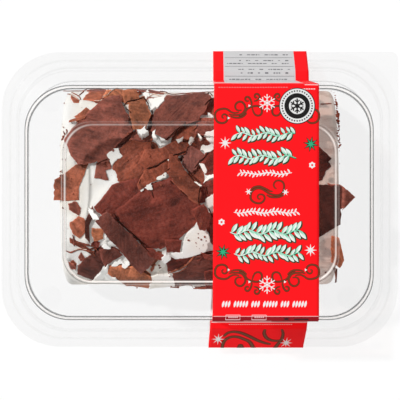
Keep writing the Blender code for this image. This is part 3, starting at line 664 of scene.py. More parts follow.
def chocolate_finish(name, colour, sheen=0.46):
    """Shaved chocolate: mottled, scraped along its length, dusty in patches; broken edges paler, partly as painted
    highlight.
    """
    finish = Finish(name)
    lay = finish.attribute("lay", output="Vector")
    cloud = finish.noise(lay, 7.0 * MM, detail=5.0, roughness=0.62)
    scrape = finish.noise(finish.stretch(lay, (0.10, 1.0, 1.0)), 0.9 * MM, detail=4.0, roughness=0.6)
    grain = finish.noise(lay, 1.1 * MM, detail=5.0, roughness=0.75)
    pits = finish.noise(lay, 2.2 * MM, detail=5.0, roughness=0.7)
    edge = finish.attribute("edge")
    mottled = finish.mix(cloud.rise(0.38, 0.62), shaded(colour, 0.60), shaded(colour, 1.40))
    scraped = finish.mix(scrape.rise(0.42, 0.68) * 0.5, mottled, shaded(colour, 1.7))
    speckled = finish.mix(0.5 + 0.5 * grain.rise(0.38, 0.56), shaded(colour, 0.35), scraped)
    dusty = finish.mix(pits.rise(0.50, 0.70) * 0.4, speckled, dusted(colour))
    # Paler edges: partly the paler grain of broken chocolate, partly painted highlight where edges catch the light,
    # drawn all round.
    broken = finish.mix(edge * (0.2 + 0.8 * pits), dusty, shaded(colour, 2.1))
    toned = finish.stretch(broken, finish.attribute("light", output="Vector"))
    relief = 0.5 * pits + 0.4 * scrape + 0.2 * grain + 1.2 * cloud
    return finish.done(finish.principled(
        base_color=toned, roughness=sheen + 0.22 * grain, specular_ior_level=0.14,
        normal=finish.bump(relief, 0.8 * MM, 0.8)))


def painted_gap_shade_finish():
    """Painted shade in the gaps between the shards: near black, warm and without gloss."""
    finish = Finish("crack_shadow")
    grain = finish.noise(finish.attribute("lay", output="Vector"), 1.2 * MM, detail=3.0)
    colour = finish.mix(grain, (0.018, 0.006, 0.004), (0.05, 0.014, 0.009))
    return finish.done(finish.principled(base_color=colour, roughness=0.9, specular_ior_level=0.0))


# ---------------------------------------------------------------- surfaces

class Shape:
    """Points, quads and triangles of one closed surface, with named values for each point."""

    def __init__(self, points, quads, triangles=None, **values):
        self.points = np.asarray(points, dtype=float).reshape(-1, 3)
        self.quads = np.asarray(quads, dtype=int).reshape(-1, 4)
        none = np.zeros((0, 3), dtype=int)
        self.triangles = none if triangles is None else np.asarray(triangles, dtype=int).reshape(-1, 3)
        self.values = {name: np.asarray(value, dtype=float).reshape(len(self.points), -1)
                       for name, value in values.items()}

    def turned_out(self):
        """The same surface with its faces turned outwards, judged by the sign of its volume."""
        quads = self.quads
        halves = np.concatenate((quads[:, (0, 1, 2)], quads[:, (0, 2, 3)], self.triangles))
        corner = (self.points - self.points.mean(axis=0))[halves]
        volume = np.einsum("ij,ij->i", corner[:, 0], np.cross(corner[:, 1], corner[:, 2])).sum()
        if volume < 0:
            self.quads = quads[:, ::-1]
            self.triangles = self.triangles[:, ::-1]
        return self


def grid_quads(rows, columns, wrap_rows=False, wrap_columns=False):
    """Quads between the neighbours of a grid kept row after row; a wrapped way is closed."""
    row = np.arange(rows if wrap_rows else rows - 1)[:, None]
    column = np.arange(columns if wrap_columns else columns - 1)[None, :]
    next_row = (row + 1) % rows * columns
    next_column = (column + 1) % columns
    row = row * columns
    corners = (row + column, row + next_column, next_row + next_column, next_row + column)
    return np.stack(np.broadcast_arrays(*corners), axis=-1).reshape(-1, 4)


def capped_loops(loops, first_pole, last_pole, **values):
    """A stack of closed loops of points, each end closed by triangles to a pole."""
    count, size = loops.shape[:2]
    points = np.concatenate((loops.reshape(-1, 3), [first_pole, last_pole]))
    step = np.arange(size)
    after = (step + 1) % size
    last = (count - 1) * size
    triangles = np.concatenate((
        np.stack((np.full(size, count * size), after, step), axis=1),
        np.stack((np.full(size, count * size + 1), last + step, last + after), axis=1)))
    spread = {}
    for name, value in values.items():
        value = np.broadcast_to(value, loops.shape[:2] + np.shape(value)[2:])
        flat = value.reshape(count * size, -1)
        spread[name] = np.concatenate((flat, value[0].reshape(size, -1).mean(axis=0)[None],
                                       value[-1].reshape(size, -1).mean(axis=0)[None]))
    return Shape(points, grid_quads(count, size, wrap_columns=True), triangles, **spread).turned_out()


def add_piece(name, shapes, finish, slot, replaces=(), smooth=True):
    """Join the shapes into one mesh object that rides on the pack's body."""
    shapes = shapes if isinstance(shapes, (list, tuple)) else [shapes]
    starts = np.cumsum([0] + [len(shape.points) for shape in shapes])
    points = np.concatenate([shape.points for shape in shapes])
    faces = []
    for shape, start in zip(shapes, starts):
        faces += (shape.quads + start).tolist() + (shape.triangles + start).tolist()
    mesh = bpy.data.meshes.new(name)
    mesh.from_pydata(points.tolist(), [], faces)
    mesh.polygons.foreach_set("use_smooth", np.full(len(faces), smooth))
    for value_name in sorted({key for shape in shapes for key in shape.values}):
        rows = [shape.values.get(value_name) for shape in shapes]
        width = max(row.shape[1] for row in rows if row is not None)
        rows = [np.zeros((len(shape.points), width)) if row is None else row
                for row, shape in zip(rows, shapes)]
        kind, field = ("FLOAT", "value") if width == 1 else ("FLOAT_VECTOR", "vector")
        layer = mesh.attributes.new(value_name, kind, "POINT")
        layer.data.foreach_set(field, np.concatenate(rows).ravel())
    mesh.materials.append(finish)
    mesh.update()
    obj = bpy.data.objects.new(name, mesh)
    bpy.context.scene.collection.objects.link(obj)
    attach(obj, BODY)
    if replaces:
        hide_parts(*replaces)
    return obj


def bent_line(bends):
    """A broken line with each corner rounded by a parabola between its two tangent points."""
    corners = np.array([bend[:2] for bend in bends])
    points = [corners[:1]]
    share = np.linspace(0.0, 1.0, BEND_STEPS + 1)[:, None]
    for index in range(1, len(corners) - 1):
        here = corners[index]
        back = corners[index - 1] - here
        ahead = corners[index + 1] - here
        back_length, ahead_length = np.linalg.norm(back), np.linalg.norm(ahead)
        turn = math.pi - math.acos(np.clip(back @ ahead / back_length / ahead_length, -1.0, 1.0))
        reach = min(bends[index][2] * math.tan(turn / 2), 0.48 * back_length, 0.48 * ahead_length)
        start, end = here + back / back_length * reach, here + ahead / ahead_length * reach
        points.append((1 - share) ** 2 * start + 2 * share * (1 - share) * here + share ** 2 * end)
    points.append(corners[-1:])
    return np.concatenate(points)


def stepped(line, steps):
    """The line with each of its stretches cut so that no piece is longer than that stretch's step."""
    pieces = []
    for start, end, step in zip(line[:-1], line[1:], steps):
        count = max(1, math.ceil(np.linalg.norm(end - start) / step))
        pieces.append(start + (end - start) * (np.arange(count) / count)[:, None])
    return np.concatenate(pieces + [line[-1:]])


def left_normals(line):
    """Unit vectors square to a line of (n, 2) points, to the left of its direction."""
    along = np.gradient(line, axis=0)
    along /= np.linalg.norm(along, axis=1)[:, None]
    return np.stack((-along[:, 1], along[:, 0]), axis=1)


def ripple(x, y, wavelength, seed, waves=9):
    """Quasi-random relief, mostly within -1 to 1: plane waves in seeded directions and lengths."""
    random = np.random.default_rng(seed)
    turn = random.uniform(0.0, 2.0 * math.pi, waves)
    phase = random.uniform(0.0, 2.0 * math.pi, waves)
    length = wavelength * random.uniform(0.7, 1.5, waves)
    total = np.zeros(np.broadcast(x, y).shape)
    for index in range(waves):
        reach = x * math.cos(turn[index]) + y * math.sin(turn[index])
        total = total + np.sin(2.0 * math.pi * reach / length[index] + phase[index])
    return total / math.sqrt(waves)


# ---------------------------------------------------------------- pack

def pack_rings(inset, height, square=0.0):
    """One rounded rectangle round the pack for each inset; square goes from 0 to 1 at the pull tab."""
    inset = np.asarray(inset)[:, None]
    square = np.broadcast_to(square, inset.shape[:1])[:, None]
    radius = EDGE_RADIUS - (EDGE_RADIUS - RIM_RADIUS) * inset / RIM_INSET
    quarter = np.linspace(0.0, math.pi / 2, CORNER_STEPS + 1)
    angle = np.concatenate([quarter + corner * math.pi / 2 for corner in range(4)])[None, :]
    side_x = np.repeat((1.0, -1.0, -1.0, 1.0), CORNER_STEPS + 1)[None, :]
    side_y = np.repeat((1.0, 1.0, -1.0, -1.0), CORNER_STEPS + 1)[None, :]
    is_tab = np.repeat((1.0, 0.0, 0.0, 0.0), CORNER_STEPS + 1)[None, :] * square
    bend = radius + (TAB_RADIUS - radius) * is_tab
    drift = np.clip(inset / STEP_INSET - 0.7, 0.0, 0.3) / 0.3
    x = side_x * (PACK_HALF_X - inset - bend) + bend * np.cos(angle) + PANEL_SHIFT[0] * drift
    y = side_y * (PACK_HALF_Y - inset - bend) + bend * np.sin(angle) + PANEL_SHIFT[1] * drift
    z = np.broadcast_to(np.asarray(height)[:, None], x.shape)
    return np.stack((x, y, z), axis=-1)


def marked(inset, marks, column):
    """How strongly the marks show at each inset: the sum of a bell curve for each."""
    return sum(mark[column] * np.exp(-((inset / MM - mark[0]) / mark[1]) ** 2) for mark in marks)


def moulded_sheet(bends, marks, thickness, sag=0.0, tab=False):
    """A thin closed sheet: its bent profile carried round the pack above, and back again below."""
    line = bent_line([tuple(value * MM for value in bend) for bend in bends])
    low, high = line[1:, 0], line[:-1, 0]
    near = np.zeros(len(line) - 1, dtype=bool)
    for mark in marks:
        near |= (low < (mark[0] + 3 * mark[1]) * MM) & (high > (mark[0] - 3 * mark[1]) * MM)
    line = stepped(line, np.where(near, MARK_STEP, PLAIN_STEP))
    profile = np.stack((-line[:, 0], line[:, 1]), axis=1)
    lower = profile - left_normals(profile) * thickness
    lower[-1] = profile[-1] - (0.0, thickness)
    # Painted shade and painted highlight from the marks, on the sheet's upper face only.
    shade, mist = (np.concatenate((marked(line[:, 0], marks, column), np.zeros(len(line))))[:, None]
                   for column in (2, 3))
    quarter = np.linspace(0.0, math.pi / 2, CORNER_STEPS + 1)
    angle = np.concatenate([quarter + corner * math.pi / 2 for corner in range(4)])
    right, far = np.clip(np.cos(angle), 0.0, 1.0), np.clip(np.sin(angle), 0.0, 1.0)
    middle = STEP_SHADE[0] + 2.2 * np.sqrt(far) + 1.8 * np.abs(np.sin(2.0 * angle)) * (far > 0.0)
    cast = STEP_SHADE[2] * np.exp(-((line[:, :1] / MM - middle) / STEP_SHADE[1]) ** 4)
    cast = cast * (1.0 - 0.75 * right * (far > 0.0)) * (line[:, 1:] > 0.5 * LID_TOP)
    cast = np.concatenate((cast, np.zeros(cast.shape)))
    profile = np.concatenate((profile, lower[::-1]))
    inset = -profile[:, 0]
    square = np.clip(1.0 - inset / TAB_INSET, 0.0, 1.0) if tab else 0.0
    rings = pack_rings(inset, profile[:, 1], square)

    shares = np.array((0.2, 0.4, 0.6, 0.8))[:, None, None]

    def panel(ring):
        middle = ring[None] * shares
        middle[..., 2] = ring[0, 2] - sag * (1.0 - shares[..., 0] ** 2)
        return middle

    loops = np.concatenate((panel(rings[0]), rings, panel(rings[-1])[::-1]))
    still = np.zeros((4, 1))
    poles = [(0.0, 0.0, ring[0, 2] - sag) for ring in (rings[0], rings[-1])]
    # Painted marks on the step fade on its +X and far sides, which are turned from the key light.
    faint = 1.0 - STEP_FAINTNESS[0] * right ** 3 - STEP_FAINTNESS[1] * far ** 3
    faint = np.where((inset > STEP_INSET)[:, None], faint[None, :], 1.0)
    ends = still * angle
    values = {name: np.concatenate((ends, value, ends))
              for name, value in (("shade", shade * faint), ("mist", mist * faint), ("cast", cast))}
    return capped_loops(loops, *poles, **values)


def foot_shape(x, y):
    """A low round foot: a dome profile turned about its own axis, closed above inside the floor."""
    low = TRAY_FLOOR - TRAY_THICKNESS - GAP - BAND_THICKNESS + FOOT_CLEARANCE
    profile = np.array(FOOT_PROFILE)
    angle = np.linspace(0.0, 2.0 * math.pi, 40, endpoint=False)
    depth = TRAY_FLOOR - 0.5 * TRAY_THICKNESS - low
    loops = np.stack(np.broadcast_arrays(
        x + FOOT_RADIUS * profile[:, :1] * np.cos(angle), y + FOOT_RADIUS * profile[:, :1] * np.sin(angle),
        low + depth * profile[:, 1:]), axis=-1)
    return capped_loops(loops, (x, y, low), (x, y, low + depth))


# ---------------------------------------------------------------- band

@functools.lru_cache(maxsize=None)
def band_line():
    """The line under the band and its outward normals, with the distance from the top's middle."""
    half = bent_line([tuple(value * MM for value in bend) for bend in BAND_BENDS])
    half = stepped(half, np.full(len(half) - 1, 2.0 * MM))
    line = np.concatenate((half[::-1], half[1:] * (-1.0, 1.0)))
    closed = np.concatenate((line[-3:-1], line, line[1:3]))
    normals = -left_normals(closed)[2:-2]
    steps = np.concatenate(([0.0], np.cumsum(np.linalg.norm(np.diff(line, axis=0), axis=1))))
    return line, normals, steps - steps[len(half) - 1]


def down_at(y):
    """Distance along the band from its top's middle to the place above y, on the upper side."""
    line, _, down = band_line()
    upper = np.abs(down) < down[-1] - 105.0 * MM
    return np.interp(-y, -line[upper, 0], down[upper])


def on_band(across, down, lift):
    """Point at (across, down) that stands lift above the band's outer face."""
    line, normals, distance = band_line()
    y, z = (np.interp(down, distance, line[:, axis]) for axis in (0, 1))
    ny, nz = (np.interp(down, distance, normals[:, axis]) for axis in (0, 1))
    length = np.hypot(ny, nz)
    wave = bpy.context.scene.yule_log.pack.paper_wave
    upper = np.clip((z - 14.0 * MM) / (10.0 * MM), 0.0, 1.0)
    lift = lift + GAP + BAND_THICKNESS + wave * upper * (1.0 + ripple(across, down, 46.0 * MM, 5))
    drift = -BAND_SKEW * np.clip((-y - 70.0 * MM) / (30.0 * MM), 0.0, 1.0)
    return np.stack(np.broadcast_arrays(
        across + drift, y + lift * ny / length, z + lift * nz / length), axis=-1)


def add_print(name, shapes, finish):
    """Printed shapes, flat where they lie on the band."""
    return add_piece(name, shapes, finish, "printed_paper", smooth=False)


def band_shape():
    """The band's closed strip: its outer face and its inner face carried round, joined at both edges."""
    _, _, distance = band_line()
    down = distance[:-1]
    line, _, _ = band_line()
    drawn_in = BAND_TAPER * np.clip(0.5 + line[:-1, :1] / (150.0 * MM), 0.0, 1.0)
    share = np.linspace(0.0, 1.0, 34)[None, :]
    across = (BAND_LEFT + drawn_in) * (1.0 - share) + BAND_RIGHT * share
    outer = on_band(across, down[:, None], 0.0)
    inner = on_band(across[:, ::-1], down[:, None], -BAND_THICKNESS)
    loops = np.concatenate((outer, inner), axis=1)
    white = np.concatenate((np.zeros(34), np.ones(34)))
    white = np.broadcast_to(white, loops.shape[:2])
    return Shape(loops, grid_quads(*loops.shape[:2], wrap_rows=True, wrap_columns=True),
                 inner=white).turned_out()


def smooth_curve(points, spacing=0.35):
    """A curve through the points, Catmull and Rom's cubic, cut into even steps; millimetres."""
    points = np.array(points, dtype=float)
    padded = np.concatenate((2 * points[:1] - points[1:2], points, 2 * points[-1:] - points[-2:-1]))
    share = np.linspace(0.0, 1.0, 24, endpoint=False)[:, None]
    pieces = []
    for a, b, c, d in zip(padded[:-3], padded[1:-2], padded[2:-1], padded[3:]):
        pieces.append(0.5 * (2 * b + (c - a) * share + (2 * a - 5 * b + 4 * c - d) * share ** 2
                             + (3 * b - a - 3 * c + d) * share ** 3))
    line = np.concatenate(pieces + [points[-1:]])
    steps = np.concatenate(([0.0], np.cumsum(np.linalg.norm(np.diff(line, axis=0), axis=1))))
    even = np.linspace(0.0, steps[-1], max(3, int(steps[-1] / spacing)))
    return np.stack([np.interp(even, steps, line[:, axis]) for axis in (0, 1)], axis=1)


def ribbon(line, width, layer):
    """A printed stroke along a line of (across, down) millimetres, swollen in its middle."""
    normals = left_normals(line)
    share = np.linspace(0.0, 1.0, len(line))[:, None]
    half = width / 2 * (0.35 + 0.65 * np.sin(math.pi * share) ** 0.35)
    left, right = line + normals * half, line - normals * half
    low, high = (layer - 1.5) * INK, layer * INK
    sides = [on_band(edge[:, 0] * MM, edge[:, 1] * MM, lift)
             for edge, lift in ((left, low), (right, low), (right, high), (left, high))]
    loops = np.stack(sides, axis=1)
    ends = [loops[index].mean(axis=0) for index in (0, -1)]
    return capped_loops(loops, *ends, fade=np.linspace(0.0, 1.0, len(line))[:, None])


def plate(outline, layer, fade=None):
    """A printed shape over an outline of (across, down) millimetres, star-shaped about its middle."""
    middle = outline.mean(axis=0)
    low, high = (layer - 1.5) * INK, layer * INK
    rings = max(1, round(np.linalg.norm(outline - middle, axis=1).max() / PRINT_STEP))
    shares = np.arange(1, rings + 1) / rings
    stack = [(share, low) for share in shares] + [(share, high) for share in shares[::-1]]
    place = [middle + (outline - middle) * share for share, _ in stack]
    loops = np.stack([on_band(ring[:, 0] * MM, ring[:, 1] * MM, lift) for ring, (_, lift) in zip(place, stack)])
    poles = [on_band(middle[0] * MM, middle[1] * MM, lift) for lift in (low, high)]
    if fade is None:
        fade = np.zeros(len(outline))
    return capped_loops(loops, *poles, fade=np.broadcast_to(fade, loops.shape[:2]))


def patch(left, right, far, near, layer):
    """A printed rectangle that follows the band: a low row and a high row across, carried along."""
    across = np.linspace(left, right, 24)
    across = np.concatenate((across, across[::-1]))
    lift = np.repeat((layer * INK, (layer - 1.5) * INK), 24)
    down = np.linspace(far, near, 3 + int(2.5 * abs(near - far)))[:, None]
    loops = on_band(across[None, :] * MM, down * MM, lift[None, :])
    ends = [loops[index].mean(axis=0) for index in (0, -1)]
    return capped_loops(loops, *ends, fade=np.zeros(loops.shape[:2]))


def disc(centre, radius, layer, sides=48):
    angle = np.linspace(0.0, 2.0 * math.pi, sides, endpoint=False)
    return plate(np.stack((centre[0] + radius * np.cos(angle), centre[1] + radius * np.sin(angle)), axis=1),
                 layer)


def star(centre, radius, layer, points=8, waist=0.34, turn=0.0, stretch=1.0):
    """A star whose outline goes between an outer and an inner radius, stretched along the band."""
    angle = np.radians(turn) + np.linspace(0.0, 2.0 * math.pi, 2 * points, endpoint=False)
    reach = np.where(np.arange(2 * points) % 2 == 0, radius, radius * waist)
    across, down = reach * np.cos(angle), stretch * reach * np.sin(angle)
    return plate(np.stack((centre[0] + across, centre[1] + down), axis=1), layer)


def bar(start, end, width, layer):
    """A straight printed stroke of even width with blunt ends."""
    start, end = np.array(start, dtype=float), np.array(end, dtype=float)
    along = (end - start) / np.linalg.norm(end - start)
    side = np.array((-along[1], along[0])) * width / 2
    return plate(np.array((start + side, start - side, end - side, end + side)), layer)


def snowflake(centre, radius, layer, width=0.62):
    """Six arms, each with a pair of branches and a small pair further in, drawn as bars."""
    centre = np.array(centre, dtype=float)
    shapes = []
    for arm in range(6):
        angle = math.radians(90.0 + 60.0 * arm)
        reach = np.array((math.cos(angle), math.sin(angle))) * radius
        shapes.append(bar(centre, centre + reach, width, layer + 0.05 * arm))
        for share, length in ((0.22, 0.14), (0.52, 0.42)):
            for lean in (-1, 1):
                branch = angle + lean * math.radians(52.0)
                stem = centre + reach * share
                tip = stem + np.array((math.cos(branch), math.sin(branch))) * radius * length
                shapes.append(bar(stem, tip, width * 0.8, layer + 0.3 + 0.05 * arm + 0.02 * lean))
    return shapes


# Half of the border scroll: curves through points in millimetres from the snowflake between the
# halves, each with its stroke's width.
BORDER_CURVES = (
    (1.25, ((-26.7, -9.4), (-27.8, -8.9), (-27.7, -7.6), (-26.4, -6.9), (-25.0, -7.6), (-24.4, -9.1),
            (-25.0, -11.1), (-26.5, -12.2), (-28.3, -12.4), (-30.4, -11.8), (-31.7, -10.3), (-32.2, -8.4),
            (-32.0, -6.1), (-30.8, -4.6), (-28.9, -3.8), (-26.5, -3.5), (-24.5, -4.0), (-22.7, -5.3),
            (-20.8, -6.1), (-18.8, -6.0), (-17.3, -5.5))),
    (1.2, ((-23.7, -6.8), (-21.9, -7.4), (-19.8, -7.4), (-17.5, -7.3), (-15.4, -6.6), (-14.1, -5.0),
            (-13.4, -3.5), (-13.6, -1.9), (-14.4, -0.4), (-15.9, 0.7), (-17.7, 0.7), (-19.3, -0.6),
            (-19.7, -2.4), (-19.0, -4.0), (-17.5, -4.6), (-15.7, -4.3))),
    (1.1, ((-22.9, -8.1), (-20.6, -8.9), (-18.0, -9.1), (-15.4, -8.6), (-13.4, -7.1), (-12.6, -6.1))),
    (1.2, ((-17.5, -8.2), (-15.9, -7.7), (-14.4, -6.7), (-13.3, -5.3), (-12.6, -4.0), (-11.3, -3.0),
            (-9.7, -2.4), (-7.7, -1.9), (-5.6, -1.9), (-4.1, -2.7), (-3.3, -4.2), (-3.3, -6.0), (-4.1, -7.3),
            (-5.6, -7.8), (-7.2, -7.3), (-8.2, -6.0), (-8.9, -4.2), (-9.2, -2.9))),
    (1.15, ((-10.0, -2.1), (-9.5, -0.6), (-9.9, 1.2), (-10.8, 3.0), (-12.1, 3.9), (-13.3, 3.3), (-13.4, 1.9),
            (-12.2, 1.1), (-11.3, 1.7))),
    (1.15, ((-8.2, 1.2), (-6.6, 1.5), (-5.3, 2.5), (-4.5, 3.8), (-5.6, 5.5), (-7.1, 5.5), (-7.7, 4.3),
            (-7.1, 3.2), (-6.0, 3.7))),
)
CENTRE_CURVES = (
    (1.25, ((38.2, -2.6), (37.1, -2.3), (36.2, -3.4), (36.8, -4.8), (38.3, -5.2), (39.9, -4.6), (40.6, -3.0),
            (39.9, -1.1), (38.1, 0.2), (36.0, 0.3), (33.7, -0.5), (32.1, -2.2), (31.9, -4.2), (32.4, -6.4),
            (33.7, -7.9), (35.5, -8.8), (37.6, -8.9), (39.6, -8.2), (41.7, -6.8), (43.8, -5.5), (46.1, -4.8),
            (48.7, -4.6), (50.7, -5.3), (52.0, -6.8), (52.5, -8.6), (52.6, -10.8), (51.9, -12.6),
            (50.2, -13.6), (48.4, -13.7), (46.9, -12.8), (46.2, -11.2), (46.6, -9.6), (47.9, -8.5))),
    (1.2, ((31.7, -7.5), (33.4, -9.2), (35.2, -9.9), (37.6, -10.1), (39.6, -9.3), (42.0, -8.2), (43.8, -7.2),
            (45.6, -6.9))),
    (1.2, ((41.8, -4.9), (43.8, -3.7), (46.1, -3.4), (48.7, -3.5), (51.0, -4.1), (52.8, -5.1))),
)
FLAP_CURVES = (
    (2.8, ((18.3, -93.5), (20.1, -91.0), (22.9, -89.7), (26.4, -89.6), (30.6, -90.7), (36.3, -93.5),
            (41.4, -96.4), (46.5, -98.6), (51.4, -99.9))),
    (2.8, ((17.6, -102.7), (18.3, -99.4), (20.0, -95.7), (23.3, -93.8), (27.5, -93.7), (31.8, -95.3),
            (36.9, -98.3), (41.9, -101.5), (46.8, -102.7), (52.2, -102.7), (56.2, -100.0), (58.3, -96.1),
            (58.7, -91.3), (57.3, -87.5))),
    (2.6, ((45.9, -87.5), (45.7, -90.7), (47.6, -94.3), (50.9, -96.4), (55.1, -97.0), (58.0, -96.1))),
    (2.6, ((26.8, -102.7), (28.2, -101.5), (30.5, -100.4), (33.0, -101.1), (34.7, -102.7))),
)


def outlined(line, width, layer):
    """A stroke and the wider, darker stroke under it."""
    return ribbon(line, 0.46 * width, layer + 1), ribbon(line, 1.08 * width, layer)


def leaf(root, length, slant, fat, layer):
    """A lens-shaped leaf from its root, leaning by slant degrees from straight up."""
    share = np.linspace(0.0, 1.0, 9)
    bulge = fat * length * np.sin(math.pi * share) ** 0.8
    angle = math.radians(slant)
    along = np.array((math.sin(angle), -math.cos(angle)))
    side = np.array((along[1], -along[0]))
    right = np.array(root) + along * length * share[:, None] + side * bulge[:, None] / 2
    left = np.array(root) + along * length * share[::-1, None] - side * bulge[::-1, None] / 2
    outline = np.concatenate((right, left[1:-1]))
    fade = np.concatenate((0.15 + 0.75 * (1.0 - share), 0.0 * share[-2:0:-1]))
    return plate(outline, layer, fade=fade)


def garland(left, right, middle, height, seed, flip=False, step=3.1):
    """Slanted leaves on both sides of a wavy stem; returns light shapes and the dark ones under them."""
    random = np.random.default_rng(seed)
    sign = -1.0 if flip else 1.0
    across = np.arange(left, right, 1.5)

    def stem_at(x):
        return middle + sign * 0.10 * height * np.sin((x - left) * 0.42)

    stem = np.stack((across, stem_at(across)), axis=1)
    light = [ribbon(smooth_curve(stem), 0.8, 3)]
    dark = [ribbon(smooth_curve(stem + (0.3, 0.3)), 1.7, 1)]
    for index, root in enumerate(np.arange(left + 0.8, right - 2.0, step)):
        for side in (1, -1):
            x = root + (0.0 if side == 1 else step / 2)
            length = height * random.uniform(0.44, 0.60)
            slant = sign * 32.0 if side == sign else 180.0 - sign * 40.0
            slant += random.uniform(-7.0, 7.0)
            jitter = 0.04 * (index % 7) + (0.3 if side == 1 else 0.0)
            base = (x, stem_at(x))
            light.append(leaf(base, length, slant, 0.36, 4 + jitter))
            dark.append(leaf((x + 0.3, base[1] + 0.3), length + 0.6, slant, 0.53, 1.3 + jitter))
    return light, dark


# ---------------------------------------------------------------- log

def log_section(angle):
    """Section of the log: two half superellipses that meet at the waist, flatter below."""
    cosine = np.cos(angle)
    sine = np.sin(angle)
    exponent = np.where(sine >= 0.0, CROWN_EXPONENT, BASE_EXPONENT)
    reach = np.where(sine >= 0.0, LOG_CROWN - LOG_WAIST, LOG_WAIST - TRAY_FLOOR - GAP)
    y = LOG_MIDDLE_Y + LOG_HALF_WIDTH * np.sign(cosine) * np.abs(cosine) ** (2.0 / exponent)
    z = LOG_WAIST + reach * np.sign(sine) * np.abs(sine) ** (2.0 / exponent)
    return y, z


# Round-the-log distances, measured once: from the crown towards +Y they are positive.
TURN = np.linspace(-math.pi / 2, 3 * math.pi / 2, 2881)
TURN_Y, TURN_Z = log_section(TURN)
TURN_ARC = np.concatenate(([0.0], np.cumsum(np.hypot(np.diff(TURN_Y), np.diff(TURN_Z)))))
ROUND = np.interp(math.pi / 2, TURN, TURN_ARC) - TURN_ARC
ROUND_ORDER = ROUND[::-1]
ORDER_Y = TURN_Y[::-1]
ORDER_Z = TURN_Z[::-1]


def swell(along, around):
    """Gentle rise and fall of the spread icing."""
    return SWELL * (np.sin(along / 0.021 + 1.3) * np.sin(around / 0.017 + 0.4)
                    + 0.5 * np.sin(along / 0.0093) * np.cos(around / 0.011))


def strokes(along, around):
    """Spatula strokes: long shallow ridges along the log, broken up by smaller dabs."""
    relief = bpy.context.scene.yule_log.cake.relief
    drift = 2.5 * MM * ripple(along, around, 30.0 * MM, 11)
    ridges = 1.0 - np.abs(ripple(along * 0.35, around + drift, 9.0 * MM, 12, waves=6))
    dabs = ripple(along, around, 6.0 * MM, 13)
    return relief * (0.55 * ridges + 0.30 * dabs)


def icing_height(along, around):
    return swell(along, around) + strokes(along, around)


def on_log(along, around, lift):
    """Point that stands off the bare section by lift, square to it, at (along, round)."""
    y = np.interp(around, ROUND_ORDER, ORDER_Y)
    z = np.interp(around, ROUND_ORDER, ORDER_Z)
    step = 0.5 * MM
    run_y = np.interp(around + step, ROUND_ORDER, ORDER_Y) - np.interp(around - step, ROUND_ORDER, ORDER_Y)
    run_z = np.interp(around + step, ROUND_ORDER, ORDER_Z) - np.interp(around - step, ROUND_ORDER, ORDER_Z)
    length = np.hypot(run_y, run_z)
    return np.stack(np.broadcast_arrays(
        along, y - lift * run_z / length, z + lift * run_y / length), axis=-1)


def icing_shape():
    """The iced log: its section carried from end to end, drawn in at the ends and closed to poles."""
    angle = np.linspace(-math.pi / 2, 3 * math.pi / 2, 236, endpoint=False)
    around = np.interp(angle, TURN, ROUND)
    quarter = np.linspace(0.0, math.pi / 2, 8)
    inner = LOG_HALF_LENGTH - END_ROUNDING
    body = np.linspace(-inner, inner, 270)[1:-1]
    along = np.concatenate((-inner - END_ROUNDING * np.cos(quarter), body, inner + END_ROUNDING * np.sin(quarter)))
    shrink = END_ROUNDING * np.concatenate((1.0 - np.sin(quarter), np.zeros(len(body)), 1.0 - np.cos(quarter)))
    grid_x, grid_s = np.meshgrid(along, around, indexing="ij")
    upper = np.clip((log_section(angle)[1] - 5.0 * MM) / (12.0 * MM), 0.0, 1.0)
    _, icing = laid_shards()
    raised = icing.sample(icing.raised, grid_x, grid_s) * (1.0 - shrink / END_ROUNDING)[:, None]
    lift = (icing_height(grid_x, grid_s) + raised) * upper[None, :] - shrink[:, None]
    loops = on_log(grid_x, grid_s, lift)
    shares = np.array((0.97, 0.9, 0.78, 0.62, 0.44, 0.26, 0.1))[:, None, None]
    ends = []
    for loop, side in ((loops[0], -1.0), (loops[-1], 1.0)):
        middle = loop.mean(axis=0)
        cap = middle + (loop[None] - middle) * shares
        fade = np.minimum(1.0, 4.0 * (1.0 - shares[..., 0]))
        bulge = 0.5 * MM * ripple(cap[..., 1], cap[..., 2], 14.0 * MM, 21) * fade
        cap[..., 0] += side * np.minimum(bulge, 0.45 * MM)
        ends.append((cap, middle))
    stack = np.concatenate((ends[0][0][::-1], loops, ends[1][0]))
    stack[..., 2] = np.maximum(stack[..., 2], TRAY_FLOOR + GAP)
    x = stack[..., 0]
    tan = np.clip((x - 66.0 * MM) / (14.0 * MM), 0.0, 1.0)
    dust = np.clip(0.5 + 0.5 * ripple(x, stack[..., 1], 25.0 * MM, 23), 0.0, 1.0)
    return capped_loops(stack, ends[0][1], ends[1][1], tan=tan, dust=dust)


# ---------------------------------------------------------------- shards

def inside(outline, along, around):
    """Which places lie inside an outline, by counting the edges that a ray crosses."""
    found = np.zeros(np.shape(along), dtype=bool)
    for (x0, s0), (x1, s1) in zip(outline, np.roll(outline, -1, axis=0)):
        if s0 == s1:
            continue
        crosses = (around >= min(s0, s1)) & (around < max(s0, s1))
        found ^= crosses & (along < x0 + (around - s0) * (x1 - x0) / (s1 - s0))
    return found


